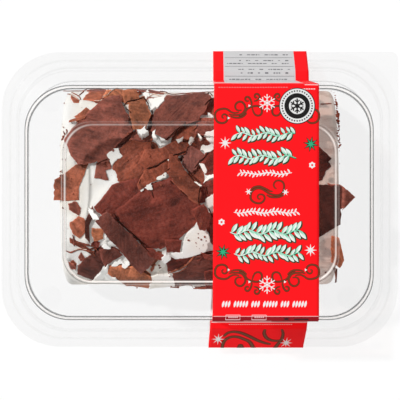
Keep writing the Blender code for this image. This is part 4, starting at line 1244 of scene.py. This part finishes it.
class Icing:
    """What lies on the log so far, as a height over the bare section on a 1 mm grid."""

    def __init__(self):
        reach = np.arange(-0.106, 0.1061, 1.0 * MM)
        turn = np.arange(-0.115, 0.1151, 1.0 * MM)
        self.along, self.around = np.meshgrid(reach, turn, indexing="ij")
        self.bare = icing_height(self.along, self.around)
        self.height = self.bare.copy()
        self.lowest = np.full(self.bare.shape, np.inf)
        self.carries = np.abs(self.along) < LOG_HALF_LENGTH - 1.0 * MM

    def lay(self, outline, thickness):
        """Lower a stiff shard on to what is there and return its lift as a function of place."""
        centre = outline.mean(axis=0)
        radius = np.linalg.norm(outline - centre, axis=1).mean()
        grown = centre + (outline - centre) * (1.0 + 1.6 * MM / radius)
        covered = inside(grown, self.along, self.around)
        under = covered & self.carries
        d_along = self.along[under] - centre[0]
        d_around = self.around[under] - centre[1]
        table = np.column_stack((d_along, d_around, np.ones_like(d_along)))
        slope_x, slope_s, _ = np.linalg.lstsq(table, self.height[under], rcond=None)[0]
        slope_x = float(np.clip(slope_x, -SHARD_TILT, SHARD_TILT))
        slope_s = float(np.clip(slope_s, -SHARD_TILT, SHARD_TILT))

        def shape(along, around):
            away = np.hypot(along - centre[0], around - centre[1]) / (20.0 * MM)
            plane = slope_x * (along - centre[0]) + slope_s * (around - centre[1])
            return plane + SHARD_CURL * away ** 2

        rest = np.max(self.height[under] - shape(self.along[under], self.around[under]))
        rest += SHARD_CLEARANCE
        underside = shape(self.along[covered], self.around[covered]) + rest
        self.lowest[covered] = np.minimum(self.lowest[covered], underside)
        self.height[covered] = np.maximum(self.height[covered], underside + thickness)
        return lambda along, around: shape(along, around) + rest

    def press(self):
        """Raise the icing to just under the shards on it, up to a limit, with a smooth fall beyond them."""
        held = np.isfinite(self.lowest)
        raised = np.where(held, np.minimum(self.lowest - PRESS_GAP, self.bare + PRESS_LIMIT), self.bare)
        raised = np.maximum(raised, self.bare)
        for _ in range(PRESS_SPREAD):
            around = sum(np.roll(raised, shift, axis) for shift in (1, -1) for axis in (0, 1))
            raised = np.where(held, raised, np.maximum(self.bare, (raised + around) / 5.0))
        self.raised = raised - self.bare
        self.height = np.maximum(self.height, raised)

    def sample(self, grid, along, around):
        """Value of a grid at any place, blended from the four places round it."""
        row = np.clip((along + 0.106) / MM, 0, grid.shape[0] - 1.001)
        column = np.clip((around + 0.115) / MM, 0, grid.shape[1] - 1.001)
        r, c = np.floor(row).astype(int), np.floor(column).astype(int)
        u, v = row - r, column - c
        return ((1 - u) * ((1 - v) * grid[r, c] + v * grid[r, c + 1])
                + u * ((1 - v) * grid[r + 1, c] + v * grid[r + 1, c + 1]))


def broken_outline(corners, seed):
    """The outline's edges cut into short facets, each moved a little off its line."""
    random = np.random.default_rng(seed)
    points = []
    for start, end in zip(corners, np.roll(corners, -1, axis=0)):
        length = np.linalg.norm(end - start)
        pieces = max(1, round(length / SHARD_SPACING))
        normal = np.array((end[1] - start[1], start[0] - end[0])) / length
        for piece in range(pieces):
            jag = random.uniform(-SHARD_JAG, SHARD_JAG) if piece else 0.0
            points.append(start + (end - start) * piece / pieces + normal * jag)
    return np.array(points)


def toothed(outline, seed, spacing=0.34 * MM, steady=4.0 * MM, depth=1.0):
    """The outline cut finely, its edges worn into teeth of several sizes that point from its middle.

    The teeth are triangle waves of the distance round the outline, at seeded lengths; some
    stretches stay clean, as where a shard snapped.
    """
    random = np.random.default_rng(1000 + seed)
    closed = np.concatenate((outline, outline[:1]))
    steps = np.concatenate(([0.0], np.cumsum(np.linalg.norm(np.diff(closed, axis=0), axis=1))))
    count = max(24, int(steps[-1] / spacing))
    travelled = np.linspace(0.0, steps[-1], count, endpoint=False)
    line = np.stack([np.interp(travelled, steps, closed[:, axis]) for axis in (0, 1)], axis=1)
    teeth = np.zeros(count)
    for length, bite in ((7.0, 0.55), (3.0, 0.45), (1.25, 0.42)):
        knots = max(3, int(steps[-1] / (length * MM)))
        heights = random.uniform(-1.0, 1.0, knots)
        places = (np.arange(knots) + random.uniform(-0.35, 0.35, knots)) * steps[-1] / knots
        order = np.concatenate((places[-1:] - steps[-1], places, places[:1] + steps[-1]))
        closed_heights = np.concatenate((heights[-1:], heights, heights[:1]))
        teeth += depth * bite * MM * np.interp(travelled, order, closed_heights)
    calm = np.interp(travelled, np.linspace(0.0, steps[-1], 9),
                     np.resize(random.choice((0.25, 0.6, 1.0, 1.35), 8), 9))
    centre = outline.mean(axis=0)
    away = line - centre
    reach = np.linalg.norm(away, axis=1)
    limit = np.minimum(1.0, reach / steady)
    return line + away / reach[:, None] * (teeth * calm * limit)[:, None]


def shard_shape(outline, lift, thickness, seed, light):
    """A thin plate over the outline, as loops round its middle: over the top, round the rim, and under.

    Each loop is the outline drawn towards the middle by a share and a margin; the top carries a
    ripple and scrape marks and thins towards the edge, and the underside follows the lift alone.
    """
    random = np.random.default_rng(2000 + seed)
    edge_line = toothed(outline, seed)
    centre = outline.mean(axis=0)
    away = edge_line - centre
    reach = np.linalg.norm(away, axis=1)[:, None]
    top = max(5, int(reach.mean() / (1.3 * MM)))
    margin = np.minimum(0.45 * MM, 0.2 * reach)
    shares = np.linspace(0.0, 1.0, top + 1)[1:]
    loops = [(share, 1.0, 1.0) for share in shares]
    loops += [(None, 0.35, 0.90), (None, 0.08, 0.66), (None, 0.0, 0.36), (None, 0.25, 0.06)]
    loops += [(0.98, 1.0, 0.0), (0.6, 1.0, 0.0), (0.3, 1.0, 0.0)]
    direction = random.uniform(0.0, math.pi)
    turn = np.array(((math.cos(direction), -math.sin(direction)), (math.sin(direction), math.cos(direction))))
    offset = random.uniform(-1.0, 1.0, 2)
    points, edges, lays, lights = [], [], [], []
    for share, inset, rise in loops:
        if share is None:
            place = centre + away / reach * (reach - margin * inset)
            edge = np.full(len(place), 1.0)
        else:
            place = centre + away / reach * (reach - margin) * share
            inward = reach[:, 0] - np.linalg.norm(place - centre, axis=1)
            edge = np.clip(1.0 - inward / (1.3 * MM), 0.0, 1.0) ** 2
        turned = place @ turn
        wave = 0.10 * MM * ripple(turned[:, 0], turned[:, 1], 9.0 * MM, 3000 + seed)
        scrape = 0.05 * MM * ripple(turned[:, 0] * 0.2, turned[:, 1], 2.6 * MM, 4000 + seed, waves=5)
        worn = np.clip((reach[:, 0] - np.linalg.norm(place - centre, axis=1)) / (2.0 * MM), 0.0, 1.0)
        full = thickness * (0.80 + 0.20 * worn) + (wave + scrape) * (0.3 + 0.7 * worn)
        height = lift(place[:, 0], place[:, 1]) + rise * full
        points.append(on_log(place[:, 0], place[:, 1], height))
        edges.append(edge)
        broad = ripple(place[:, 0], place[:, 1], 24.0 * MM, 5000 + seed)
        fine = ripple(turned[:, 0] * 0.5, turned[:, 1], 6.0 * MM, 7000 + seed)
        lights.append(light * (1.0 + 0.17 * broad + 0.09 * fine))
        lays.append(np.column_stack((turned + offset, np.full(len(place), seed * 0.37))))
    poles = [on_log(centre[0], centre[1], lift(*centre) + rise) for rise in (thickness, 0.0)]
    return capped_loops(np.array(points), *poles, edge=np.array(edges), lay=np.array(lays),
                        light=np.array(lights))


def dab_plane(outline):
    """The flat top of a dab: its middle, its height there, and its slope along and round.

    It is the plane that fits the heights under and just round the outline, raised to clear nearly
    all of them.
    """
    _, icing = laid_shards()
    centre = outline.mean(axis=0)
    under = inside(centre + (outline - centre) * 1.3, icing.along, icing.around)
    offset = np.column_stack((icing.along[under], icing.around[under])) - centre
    if len(offset) < 4:
        offset = outline - centre
    heights = icing.sample(icing.height, *(offset + centre).T)
    table = np.column_stack((offset, np.ones(len(offset))))
    slope = np.clip(np.linalg.lstsq(table, heights, rcond=None)[0][:2], -0.22, 0.22)
    return centre, np.percentile(heights - offset @ slope, 85.0) + 0.2 * MM, slope


def dab_shape(outline, seed):
    """A flat dab of icing over what lies under its outline, its sides reaching down to the bare icing."""
    _, icing = laid_shards()
    centre, rest, slope = dab_plane(outline)
    away = toothed(outline, 300 + seed, spacing=0.28 * MM, steady=1.5 * MM, depth=1.5) - centre
    reach = np.linalg.norm(away, axis=1)[:, None]
    margin = np.minimum(0.4 * MM, 0.25 * reach) / reach
    points = []
    for share, inset, drop in DAB_LOOPS:
        place = away * (share - inset * margin)
        if drop is None:
            height = icing.sample(icing.bare, *(place + centre).T) - DAB_EMBED
        else:
            height = rest + place @ slope - drop * MM
        points.append(on_log(place[:, 0] + centre[0], place[:, 1] + centre[1], height))
    base = icing.sample(icing.bare, *centre) - DAB_EMBED
    poles = [on_log(*centre, rest + 0.04 * MM), on_log(*centre, base)]
    return capped_loops(np.array(points), *poles)


def shown_height(along, around):
    """Height of what shows from above: the icing and the shards on it, or the dab that covers them."""
    _, icing = laid_shards()
    height = icing.sample(icing.height, along, around)
    for corners in DABS:
        outline = np.array(corners) * MM
        centre, rest, slope = dab_plane(outline)
        plane = rest + (np.column_stack((along, around)) - centre) @ slope
        height = np.where(inside(outline, along, around), np.maximum(height, plane), height)
    return height


def strip_shape(points, width, rise, seed):
    """A thin strip along a middle line of (along, round) millimetres: it follows what lies under it.

    It narrows to both ends; its section is a low six-sided lens.
    """
    _, icing = laid_shards()
    line = smooth_curve(points, 0.5) * MM
    normals = left_normals(line)
    share = np.linspace(0.0, 1.0, len(line))
    random = np.random.default_rng(6000 + seed)
    wobble = np.interp(share, np.linspace(0.0, 1.0, 9), random.uniform(0.7, 1.25, 9))
    half = 0.5 * width * MM * wobble * np.minimum(1.0, 0.35 + 4.0 * np.minimum(share, 1.0 - share))
    base = icing.sample(icing.height, line[:, 0], line[:, 1])
    sides = []
    for across, lift in ((-1.0, 0.0), (-0.6, 1.0), (0.6, 1.0), (1.0, 0.0), (0.6, -0.4), (-0.6, -0.4)):
        place = line + normals * (across * half)[:, None]
        height = np.maximum(base, icing.sample(icing.height, place[:, 0], place[:, 1])) + 0.15 * MM
        sides.append(on_log(place[:, 0], place[:, 1], height + lift * rise))
    loops = np.stack(sides, axis=1)
    ends = [loops[index].mean(axis=0) for index in (0, -1)]
    lay = np.broadcast_to(np.column_stack((line, np.full(len(line), 0.53 * seed)))[:, None], loops.shape)
    return capped_loops(loops, *ends, edge=np.zeros(loops.shape[:2]), lay=lay, light=np.ones(loops.shape[:2]))


@functools.lru_cache(maxsize=None)
def laid_shards():
    """Every flake, shard and sliver laid in turn, and the icing after.

    Each is (kind, number, tone, outline, lift, thickness).
    """
    thickness = bpy.context.scene.yule_log.cake.shard_thickness
    icing = Icing()
    laid = []
    for kind, rows, share in (("flake", FLAKES, 0.5), ("shard", SHARDS, 1.0), ("sliver", SLIVERS, 0.6)):
        for number, (tone, corners) in enumerate(rows, start=1):
            outline = np.array(corners) * MM
            if kind == "shard":
                outline = broken_outline(outline, seed=number)
            lift = icing.lay(outline, share * thickness)
            laid.append((kind, number, tone, outline, lift, share * thickness))
    icing.press()
    return laid, icing


# ---------------------------------------------------------------- crumbs

def crumb_grid():
    """A small closed lump of 5 by 7 points, as directions from its middle."""
    climb = np.linspace(-math.pi / 2, math.pi / 2, 6)[1:-1, None]
    angle = np.linspace(0.0, 2.0 * math.pi, 7, endpoint=False)[None, :]
    return np.stack(np.broadcast_arrays(
        np.cos(climb) * np.cos(angle), np.cos(climb) * np.sin(angle), np.sin(climb)), axis=-1)


def crumb_shapes(places, sizes, flat, seed):
    """Lumps at (along, round) places: each a ball with seeded dents, squashed by flat and turned."""
    random = np.random.default_rng(seed)
    ball = crumb_grid()
    shapes = []
    for (along, around), size, ground in zip(places, sizes, shown_height(*places.T)):
        stretch = random.uniform(0.6, 1.5, 3) * (1.0, 1.0, flat)
        dents = random.uniform(0.72, 1.2, ball.shape[:2])[..., None]
        angle = random.uniform(0.0, math.pi)
        lump = ball * dents * stretch * size
        x = lump[..., 0] * math.cos(angle) - lump[..., 1] * math.sin(angle)
        s = lump[..., 0] * math.sin(angle) + lump[..., 1] * math.cos(angle)
        base = ground + size * flat * 0.6
        loops = on_log(along + x, around + s, base + lump[..., 2])
        low = on_log(along, around, base - size * flat * stretch[2] * 0.9)
        high = on_log(along, around, base + size * flat * stretch[2] * 0.9)
        lay = np.stack((x + along, s + around, lump[..., 2]), axis=-1)
        shapes.append(capped_loops(loops, low, high, edge=np.full(loops.shape[:2], 0.6), lay=lay,
                                   light=np.ones(loops.shape[:2])))
    return shapes


# Where crumbs lie: middle (along, round), spread along and round in millimetres, and share of all.
CRUMB_PATCHES = (
    ((90.2, 48.0), (0.9, 22.0), 0.55),
    ((-87.5, 20.0), (2.5, 34.0), 0.10),
    ((0.0, -30.0), (8.0, 13.0), 0.07),
    ((-18.0, -64.0), (26.0, 14.0), 0.16),
    ((-50.0, 20.0), (32.0, 36.0), 0.22),
    ((60.0, -50.0), (24.0, 18.0), 0.10),
)


# ---------------------------------------------------------------- operators

class YULE_OT_stage(bpy.types.Operator):
    """Make the floor, the soft studio light and the camera over the pack"""
    bl_idname = "yule.stage"
    bl_label = "Stage"

    def execute(self, context):
        scene = context.scene
        look = scene.yule_log.stage
        scene.view_settings.view_transform = "Standard"
        scene.cycles.transparent_max_bounces = 40

        data = bpy.data.cameras.new("camera")
        data.lens = look.lens
        data.sensor_width = 36.0
        data.clip_start = 0.02
        camera = bpy.data.objects.new("camera", data)
        camera.location = look.camera_place
        aim = (0.56 * MM, 1.64 * MM)
        view_width = data.sensor_width / data.lens * (look.camera_place[2] - LID_TOP)
        data.shift_x = (aim[0] - look.camera_place[0]) / view_width
        data.shift_y = (aim[1] - look.camera_place[1]) / view_width
        scene.collection.objects.link(camera)
        scene.camera = camera

        world = bpy.data.worlds.new("soft_light")
        world.use_nodes = True
        sky = world.node_tree.nodes["Background"]
        sky.inputs["Color"].default_value = (1.0, 1.0, 1.0, 1.0)
        sky.inputs["Strength"].default_value = look.sky_strength
        scene.world = world

        sun = bpy.data.lights.new("key_light", "SUN")
        sun.energy = look.key_strength
        sun.angle = math.radians(2.4)
        key = bpy.data.objects.new("key_light", sun)
        travel = np.array((0.70, -0.46, -1.0))
        key.rotation_euler = (math.atan2(math.hypot(travel[0], travel[1]), -travel[2]), 0.0,
                              math.atan2(travel[1], travel[0]) + math.pi / 2 + math.pi)
        scene.collection.objects.link(key)

        finish = Finish("floor")
        glow = finish.node("ShaderNodeEmission", {}, {"Color": (1.0, 1.0, 1.0), "Strength": 1.02})
        matt = finish.node("ShaderNodeBsdfDiffuse", {}, {"Color": (0.9, 0.9, 0.9)})
        floor_material = finish.done(finish.mix_shader(look.floor_glow, matt, glow))
        mesh = bpy.data.meshes.new("floor")
        reach = 3.0
        mesh.from_pydata([(-reach, -reach, 0.0), (reach, -reach, 0.0), (reach, reach, 0.0), (-reach, reach, 0.0)],
                         [], [(0, 1, 2, 3)])
        mesh.materials.append(floor_material)
        floor = bpy.data.objects.new("floor", mesh)
        scene.collection.objects.link(floor)
        return {"FINISHED"}


class YULE_OT_clear_lid(bpy.types.Operator):
    """Make the tall clear lid with its raised rim and sunk panel"""
    bl_idname = "yule.clear_lid"
    bl_label = "Clear lid"

    def execute(self, context):
        look = context.scene.yule_log.pack
        shape = moulded_sheet(LID_BENDS, LID_MARKS, LID_THICKNESS, sag=look.panel_sag)
        add_piece("lid", shape, plastic_finish("clear_lid", look.clarity), "clear_plastic", ["clear_lid"])
        return {"FINISHED"}


class YULE_OT_clear_tray(bpy.types.Operator):
    """Make the shallow clear tray with its flange, pull tab and feet"""
    bl_idname = "yule.clear_tray"
    bl_label = "Clear tray"

    def execute(self, context):
        look = context.scene.yule_log.pack
        shape = moulded_sheet(TRAY_BENDS, TRAY_MARKS, TRAY_THICKNESS, tab=True)
        add_piece("tray", shape, plastic_finish("clear_tray", look.tray_clarity), "clear_plastic", ["clear_tray"])
        feet = [foot_shape(x * MM, y * MM) for x, y in FOOT_PLACES]
        finish = Finish("clear_feet")
        clear = finish.node("ShaderNodeBsdfTransparent", {}, {"Color": (0.995, 0.995, 0.995)})
        gloss = finish.node("ShaderNodeBsdfAnisotropic", {}, {"Color": (1.0, 1.0, 1.0), "Roughness": 0.5})
        add_piece("feet", feet, finish.done(finish.mix_shader(0.006, clear, gloss)), "clear_plastic")
        return {"FINISHED"}


class YULE_OT_band(bpy.types.Operator):
    """Make the red paper band round the pack"""
    bl_idname = "yule.band"
    bl_label = "Paper band"

    def execute(self, context):
        red = tuple(context.scene.yule_log.pack.paper_red)
        add_piece("band", band_shape(), paper_finish(red), "printed_paper", ["paper_band"])
        return {"FINISHED"}


class YULE_OT_scrolls(bpy.types.Operator):
    """Print the brown scrolls on the band"""
    bl_idname = "yule.scrolls"
    bl_label = "Printed scrolls"

    def execute(self, context):
        brown = tuple(context.scene.yule_log.pack.print_brown)
        light, dark = [], []
        number = 0
        for middle, flip in (((42.1, 50.8), 1.0), ((42.1, -61.7), -1.0)):
            for side in (1.0, -1.0):
                for width, points in BORDER_CURVES:
                    line = smooth_curve(np.array(points) * (side, flip) + middle)
                    top, under = outlined(line, width, 1 + 0.04 * number)
                    light.append(top)
                    dark.append(under)
                    number += 1
        for width, points in CENTRE_CURVES:
            top, under = outlined(smooth_curve(points), width, 1 + 0.05 * number)
            light.append(top)
            dark.append(under)
            number += 1
        for width, points in FLAP_CURVES:
            points = np.array(points)
            points[:, 1] = down_at(points[:, 1] * MM) / MM
            top, under = outlined(smooth_curve(points), width, 1 + 0.05 * number)
            light.append(top)
            dark.append(under)
            number += 1
        add_print("scrolls", light, ink_finish("scroll_brown", brown))
        add_print("scroll_outlines", dark, ink_finish("scroll_outline", (0.16, 0.012, 0.004)))
        return {"FINISHED"}


class YULE_OT_stars(bpy.types.Operator):
    """Print the snowflakes, the stars and the small marks on the band"""
    bl_idname = "yule.stars"
    bl_label = "Printed stars"

    def execute(self, context):
        green = tuple(context.scene.yule_log.pack.print_green)
        red = tuple(context.scene.yule_log.pack.paper_red)
        white, hearts = [], []
        for middle in ((42.1, 50.8), (42.1, -61.7)):
            white += snowflake(middle, 5.5, 3.5)
        for middle in ((16.1, -37.0), (69.0, 29.4)):
            white.append(star(middle, 4.0, 3.2, waist=0.32))
        for middle in ((30.6, -6.8), (53.5, -6.5)):
            white.append(star(middle, 2.3, 4.6, points=6))
        for middle in ((70.0, -23.3), (13.9, 12.0)):
            white.append(star(middle, 2.2, 3.2, points=6, waist=0.75, turn=30.0))
            hearts.append(star(middle, 0.85, 6.0, points=6, waist=0.6))
        for middle in ((18.2, 41.6), (31.1, 49.0), (66.0, 41.6), (53.1, 49.0), (18.2, -52.4), (31.1, -60.0)):
            white.append(star(middle, 1.0, 4.6, points=3, waist=0.5))
        for x, y in ((14.6, -95.6), (62.0, -98.6)):
            white.append(star((x, float(down_at(y * MM)) / MM), 4.4, 4.6, waist=0.28, stretch=1.45))
        add_print("white_stars", white, ink_finish("star_white", (0.86, 0.84, 0.83)))
        add_print("flower_hearts", hearts, ink_finish("heart_red", red))
        leaves, rims = [], []
        for middle in ((69.2, -36.3), (14.8, 30.6)):
            leaves.append(star(middle, 4.1, 4.2, waist=0.26, turn=11.0))
            rims.append(star(middle, 5.0, 3.0, waist=0.44, turn=11.0))
        add_print("green_stars", leaves, ink_finish("star_green", green))
        add_print("green_star_rims", rims, ink_finish("star_rim", (0.035, 0.02, 0.012)))
        return {"FINISHED"}


class YULE_OT_leaf_rows(bpy.types.Operator):
    """Print the rows of mint and white leaves on the band"""
    bl_idname = "yule.leaf_rows"
    bl_label = "Printed leaf rows"

    def execute(self, context):
        light, dark = [], []
        rows = (
            (22.9, 60.1, -42.3, 10.0, True), (21.0, 60.7, -28.2, 10.6, True),
            (19.2, 64.5, 18.2, 12.6, False), (21.6, 63.4, 31.6, 11.0, False),
        )
        for seed, (left, right, middle, height, flip) in enumerate(rows):
            top, under = garland(left, right, middle, height, 50 + seed, flip)
            light += top
            dark += under
        add_print("leaf_rows", light, ink_finish("leaf_white", (0.88, 0.90, 0.86), second=(0.12, 0.62, 0.38)))
        add_print("leaf_row_shades", dark, ink_finish("leaf_shade", (0.035, 0.05, 0.02)))
        small = []
        for seed, (left, right, middle, height, flip) in enumerate((
                (24.5, 59.0, -18.1, 5.0, True), (21.5, 61.5, 5.9, 5.4, False))):
            small += garland(left, right, middle, height, 70 + seed, flip, step=2.3)[0]
        for index, x in enumerate(np.arange(14.8, 69.0, 1.82)):
            if index % 10 not in (3, 9):
                small.append(leaf((x - 0.4, 64.9), 4.4, 14.0, 0.34, 3.0 + 0.05 * (index % 2)))
        for x in np.arange(57.2, 71.5, 1.5):
            small.append(bar((x, -70.4), (x + 1.1, -70.4), 0.5, 3.1))
        add_print("small_prints", small, ink_finish("small_print", (0.88, 0.82, 0.82)))
        faint = [bar((x, -71.3), (x + 1.2, -71.3), 0.45, 3.0) for x in np.arange(12.0, 54.0, 1.6)]
        add_print("faint_prints", faint, ink_finish("faint_print", (0.78, 0.16, 0.17)))
        return {"FINISHED"}


class YULE_OT_badge(bpy.types.Operator):
    """Print the round badge and the pale panel on the far flap; draw lines along the folds, partly painted
    highlight, and a strip of painted shade
    """
    bl_idname = "yule.badge"
    bl_label = "Printed badge and panel"

    def execute(self, context):
        middle = np.array((60.7, -59.9))
        black = [disc(middle, 11.2, 5.0), disc(middle, 7.9, 7.0)]
        pale = [disc(middle, 10.7, 6.0), disc(middle, 5.1, 8.0)]
        marks = snowflake(middle, 4.6, 9.0, width=0.9)
        for bead in range(36):
            angle = math.radians(10.0 * bead)
            marks.append(disc(middle + 9.3 * np.array((math.cos(angle), math.sin(angle))), 0.5, 7.0, sides=8))
        white_ink = ink_finish("badge_white", (0.78, 0.78, 0.77))
        black_ink = ink_finish("badge_black", (0.012, 0.011, 0.011))
        add_print("badge_discs", pale, white_ink)
        add_print("badge_rings", black, black_ink)
        add_print("badge_marks", marks, black_ink)

        far, near = (float(down_at(y * MM)) / MM for y in (102.0, 75.2))
        left, right = 16.4, 65.2
        panel = patch(left, right, far, near, 2.2)
        add_print("far_panel", panel, ink_finish("panel_white", (0.56, 0.555, 0.56)))
        greys = []
        random = np.random.default_rng(8)
        for row, y in enumerate(np.arange(79.6, 101.5, 2.25)):
            down = float(down_at(y * MM)) / MM
            if row % 3 == 2:
                greys.append(patch(left + 1, right - 1, down - 0.16, down + 0.16, 3.7))
                continue
            x = left + random.uniform(2.0, 20.0)
            while x < right - 4.0:
                length = random.uniform(0.8, 2.6)
                greys.append(bar((x, down), (x + length, down), random.uniform(0.6, 1.1), 3.7))
                x += length + random.choice((0.5, 0.6, 3.5))
        add_print("panel_bars", greys, ink_finish("panel_grey", (0.17, 0.17, 0.18)))

        # The pale lines along the folds are partly bare paper where the ink cracked and partly painted highlight;
        # the dashes and boxes with them are print.
        folds = [patch(BAND_LEFT / MM + 1.2, 65.5, *(float(down_at(y * MM)) / MM for y in (75.4, 73.7)), 3.0),
                 patch(65.5, 74.0, -72.9, -72.4, 3.0)]
        near_fold = float(down_at(-82.9 * MM)) / MM
        folds.append(patch(8.9, 73.8, near_fold - 0.4, near_fold + 0.4, 2.0))
        folds.append(patch(8.9, 74.0, 70.2, 70.55, 4.0))
        for x in np.arange(21.0, 64.0, 1.5):
            folds.append(bar((x, near_fold + 1.6), (x + 1.0, near_fold + 1.6), 0.5, 2.0))
        for x in (16.6, 32.8):
            for start, end in (((0.0, 69.6), (8.8, 69.6)), ((0.0, 72.2), (8.8, 72.2)),
                               ((0.0, 69.6), (0.0, 72.2)), ((8.8, 69.6), (8.8, 72.2))):
                folds.append(bar((x + start[0], start[1]), (x + end[0], end[1]), 0.45, 5.0 + 0.1 * (end[0] == 0.0)))
            for place in np.arange(x + 1.6, x + 7.0, 1.25):
                folds.append(bar((place, 70.9), (place + 0.8, 70.9), 0.8, 5.0))
        folds.append(patch(28.0, 45.0, 72.9, 73.15, 4.0))
        add_print("fold_lines", folds, ink_finish("fold_white", (0.85, 0.52, 0.52)))
        # Painted shade: a dark red strip along the band's near shoulder, where it turns down over the rim.
        strip = patch(BAND_LEFT / MM + 0.2, 74.2, 70.5, 76.0, 1.5)
        add_print("near_strip", strip, ink_finish("strip_red", (0.30, 0.006, 0.012)))
        smudges = [bar((52.0, 71.8), (56.5, 71.8), 1.3, 3.0), bar((59.0, 72.0), (68.0, 72.0), 0.7, 3.0)]
        add_print("strip_marks", smudges, ink_finish("strip_dark", (0.05, 0.01, 0.012)))
        return {"FINISHED"}


class YULE_OT_icing(bpy.types.Operator):
    """Spread the white icing over the whole log"""
    bl_idname = "yule.icing"
    bl_label = "Iced log"

    def execute(self, context):
        colour = tuple(context.scene.yule_log.cake.icing_colour)
        add_piece("icing", icing_shape(), icing_finish(colour), "white_icing", ["iced_log"])
        return {"FINISHED"}


@functools.lru_cache(maxsize=None)
def tone_finishes():
    """One chocolate finish for each tone, with the slot that it belongs to."""
    cake = bpy.context.scene.yule_log.cake
    slots = {"tan": "tan_chocolate", "milk": "milk_chocolate", "russet": "russet_chocolate",
             "brown": "brown_chocolate", "bloom": "bloomed_chocolate", "dark": "dark_chocolate",
             "bitter": "bitter_chocolate"}
    made = {tone: (chocolate_finish(slot, tuple(getattr(cake, tone))), slot) for tone, slot in slots.items()}
    # Near-black strips of painted shade for the gaps between shards.
    made["crack"] = (painted_gap_shade_finish(), "bitter_chocolate")
    # Pale strips in the cream colour are painted highlight along lit edges.
    made["cream"] = (chocolate_finish("pale_shaving", tuple(cake.cream)), "tan_chocolate")
    return made


class YULE_OT_shards(bpy.types.Operator):
    """Lay the broken chocolate shards and slivers on the icing"""
    bl_idname = "yule.shards"
    bl_label = "Chocolate shards"

    def execute(self, context):
        finishes = tone_finishes()
        laid, _ = laid_shards()
        flakes = {}
        for kind, number, tone, outline, lift, thickness in laid:
            seed = number + {"shard": 0, "sliver": 50, "flake": 100}[kind]
            light = SHARD_LIGHT.get(number, 1.0) if kind == "shard" else 1.0
            shape = shard_shape(outline, lift, thickness, seed, light)
            finish, slot = finishes[tone]
            if kind == "flake":
                flakes.setdefault(tone, []).append(shape)
            elif kind == "shard":
                add_piece(f"chocolate_{number:02d}", shape, finish, slot, [f"shard_{number:02d}"])
            else:
                add_piece(f"sliver_{number:02d}", shape, finish, slot)
        for tone, shapes in flakes.items():
            add_piece(f"flakes_{tone}", shapes, *finishes[tone])
        return {"FINISHED"}


class YULE_OT_curls(bpy.types.Operator):
    """Strew thin curls and shavings over the shards, with strips of painted highlight and of painted shade between
    them
    """
    bl_idname = "yule.curls"
    bl_label = "Curls and cracks"

    def execute(self, context):
        finishes = tone_finishes()
        curls = {}
        for number, (tone, width, points) in enumerate(STRIPS):
            rise = (0.12 if tone == "crack" else 0.4) * MM
            curls.setdefault(tone, []).append(strip_shape(points, width, rise, number))
        for tone, shapes in curls.items():
            add_piece(f"curls_{tone}", shapes, *finishes[tone])
        return {"FINISHED"}


class YULE_OT_dabs(bpy.types.Operator):
    """Dab the icing that shows over and between the shards"""
    bl_idname = "yule.dabs"
    bl_label = "Icing dabs"

    def execute(self, context):
        colour = tuple(context.scene.yule_log.cake.icing_colour)
        shapes = [dab_shape(np.array(corners) * MM, number) for number, corners in enumerate(DABS)]
        # The dabs are a lighter copy of the icing with a stronger painted glow, painted light that keeps them lit
        # white.
        add_piece("icing_dabs", shapes, icing_finish(shaded(colour, 1.14), glow=0.11), "white_icing")
        return {"FINISHED"}


class YULE_OT_crumbs(bpy.types.Operator):
    """Scatter chocolate crumbs and flakes over the icing"""
    bl_idname = "yule.crumbs"
    bl_label = "Chocolate crumbs"

    def execute(self, context):
        count = context.scene.yule_log.cake.crumbs
        random = np.random.default_rng(77)
        places = []
        for middle, spread, share in CRUMB_PATCHES:
            number = int(count * share)
            offset = random.normal(0.0, 0.5, (number, 2)) * spread
            places.append(np.array(middle) + offset)
        places = np.concatenate(places) * MM
        places[:, 0] = np.clip(places[:, 0], -90.5 * MM, 90.5 * MM)
        sizes = (0.22 + 0.7 * random.uniform(0.0, 1.0, len(places)) ** 2.5) * MM
        cake = context.scene.yule_log.cake
        finish = chocolate_finish("crumb_chocolate", shaded(tuple(cake.brown), 0.8))
        add_piece("crumbs", crumb_shapes(places, sizes, 0.6, 78), finish, "brown_chocolate")
        return {"FINISHED"}


class YULE_PT_panel(bpy.types.Panel):
    """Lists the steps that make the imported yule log"""
    bl_idname = "YULE_PT_panel"
    bl_label = "Yule log"
    bl_space_type = "VIEW_3D"
    bl_region_type = "UI"
    bl_category = "Yule log"

    def draw(self, context):
        for step in STEPS:
            self.layout.operator(step.bl_idname)
        for group in ("pack", "cake", "stage"):
            settings = getattr(context.scene.yule_log, group)
            box = self.layout.box()
            box.label(text=group.title())
            for name in settings.__annotations__:
                box.prop(settings, name)


STEPS = (
    YULE_OT_stage, YULE_OT_icing, YULE_OT_shards, YULE_OT_curls, YULE_OT_dabs, YULE_OT_crumbs,
    YULE_OT_clear_tray, YULE_OT_clear_lid, YULE_OT_band, YULE_OT_scrolls, YULE_OT_stars,
    YULE_OT_leaf_rows, YULE_OT_badge,
)
CLASSES = (PackSettings, CakeSettings, StageSettings, YuleLogSettings) + STEPS + (YULE_PT_panel,)


def register():
    for made in CLASSES:
        bpy.utils.register_class(made)
    bpy.types.Scene.yule_log = PointerProperty(type=YuleLogSettings)


def unregister():
    del bpy.types.Scene.yule_log
    for made in reversed(CLASSES):
        bpy.utils.unregister_class(made)


def main():
    register()
    for step in STEPS:
        group, name = step.bl_idname.split(".")
        getattr(getattr(bpy.ops, group), name)()


if __name__ == "__main__":
    main()
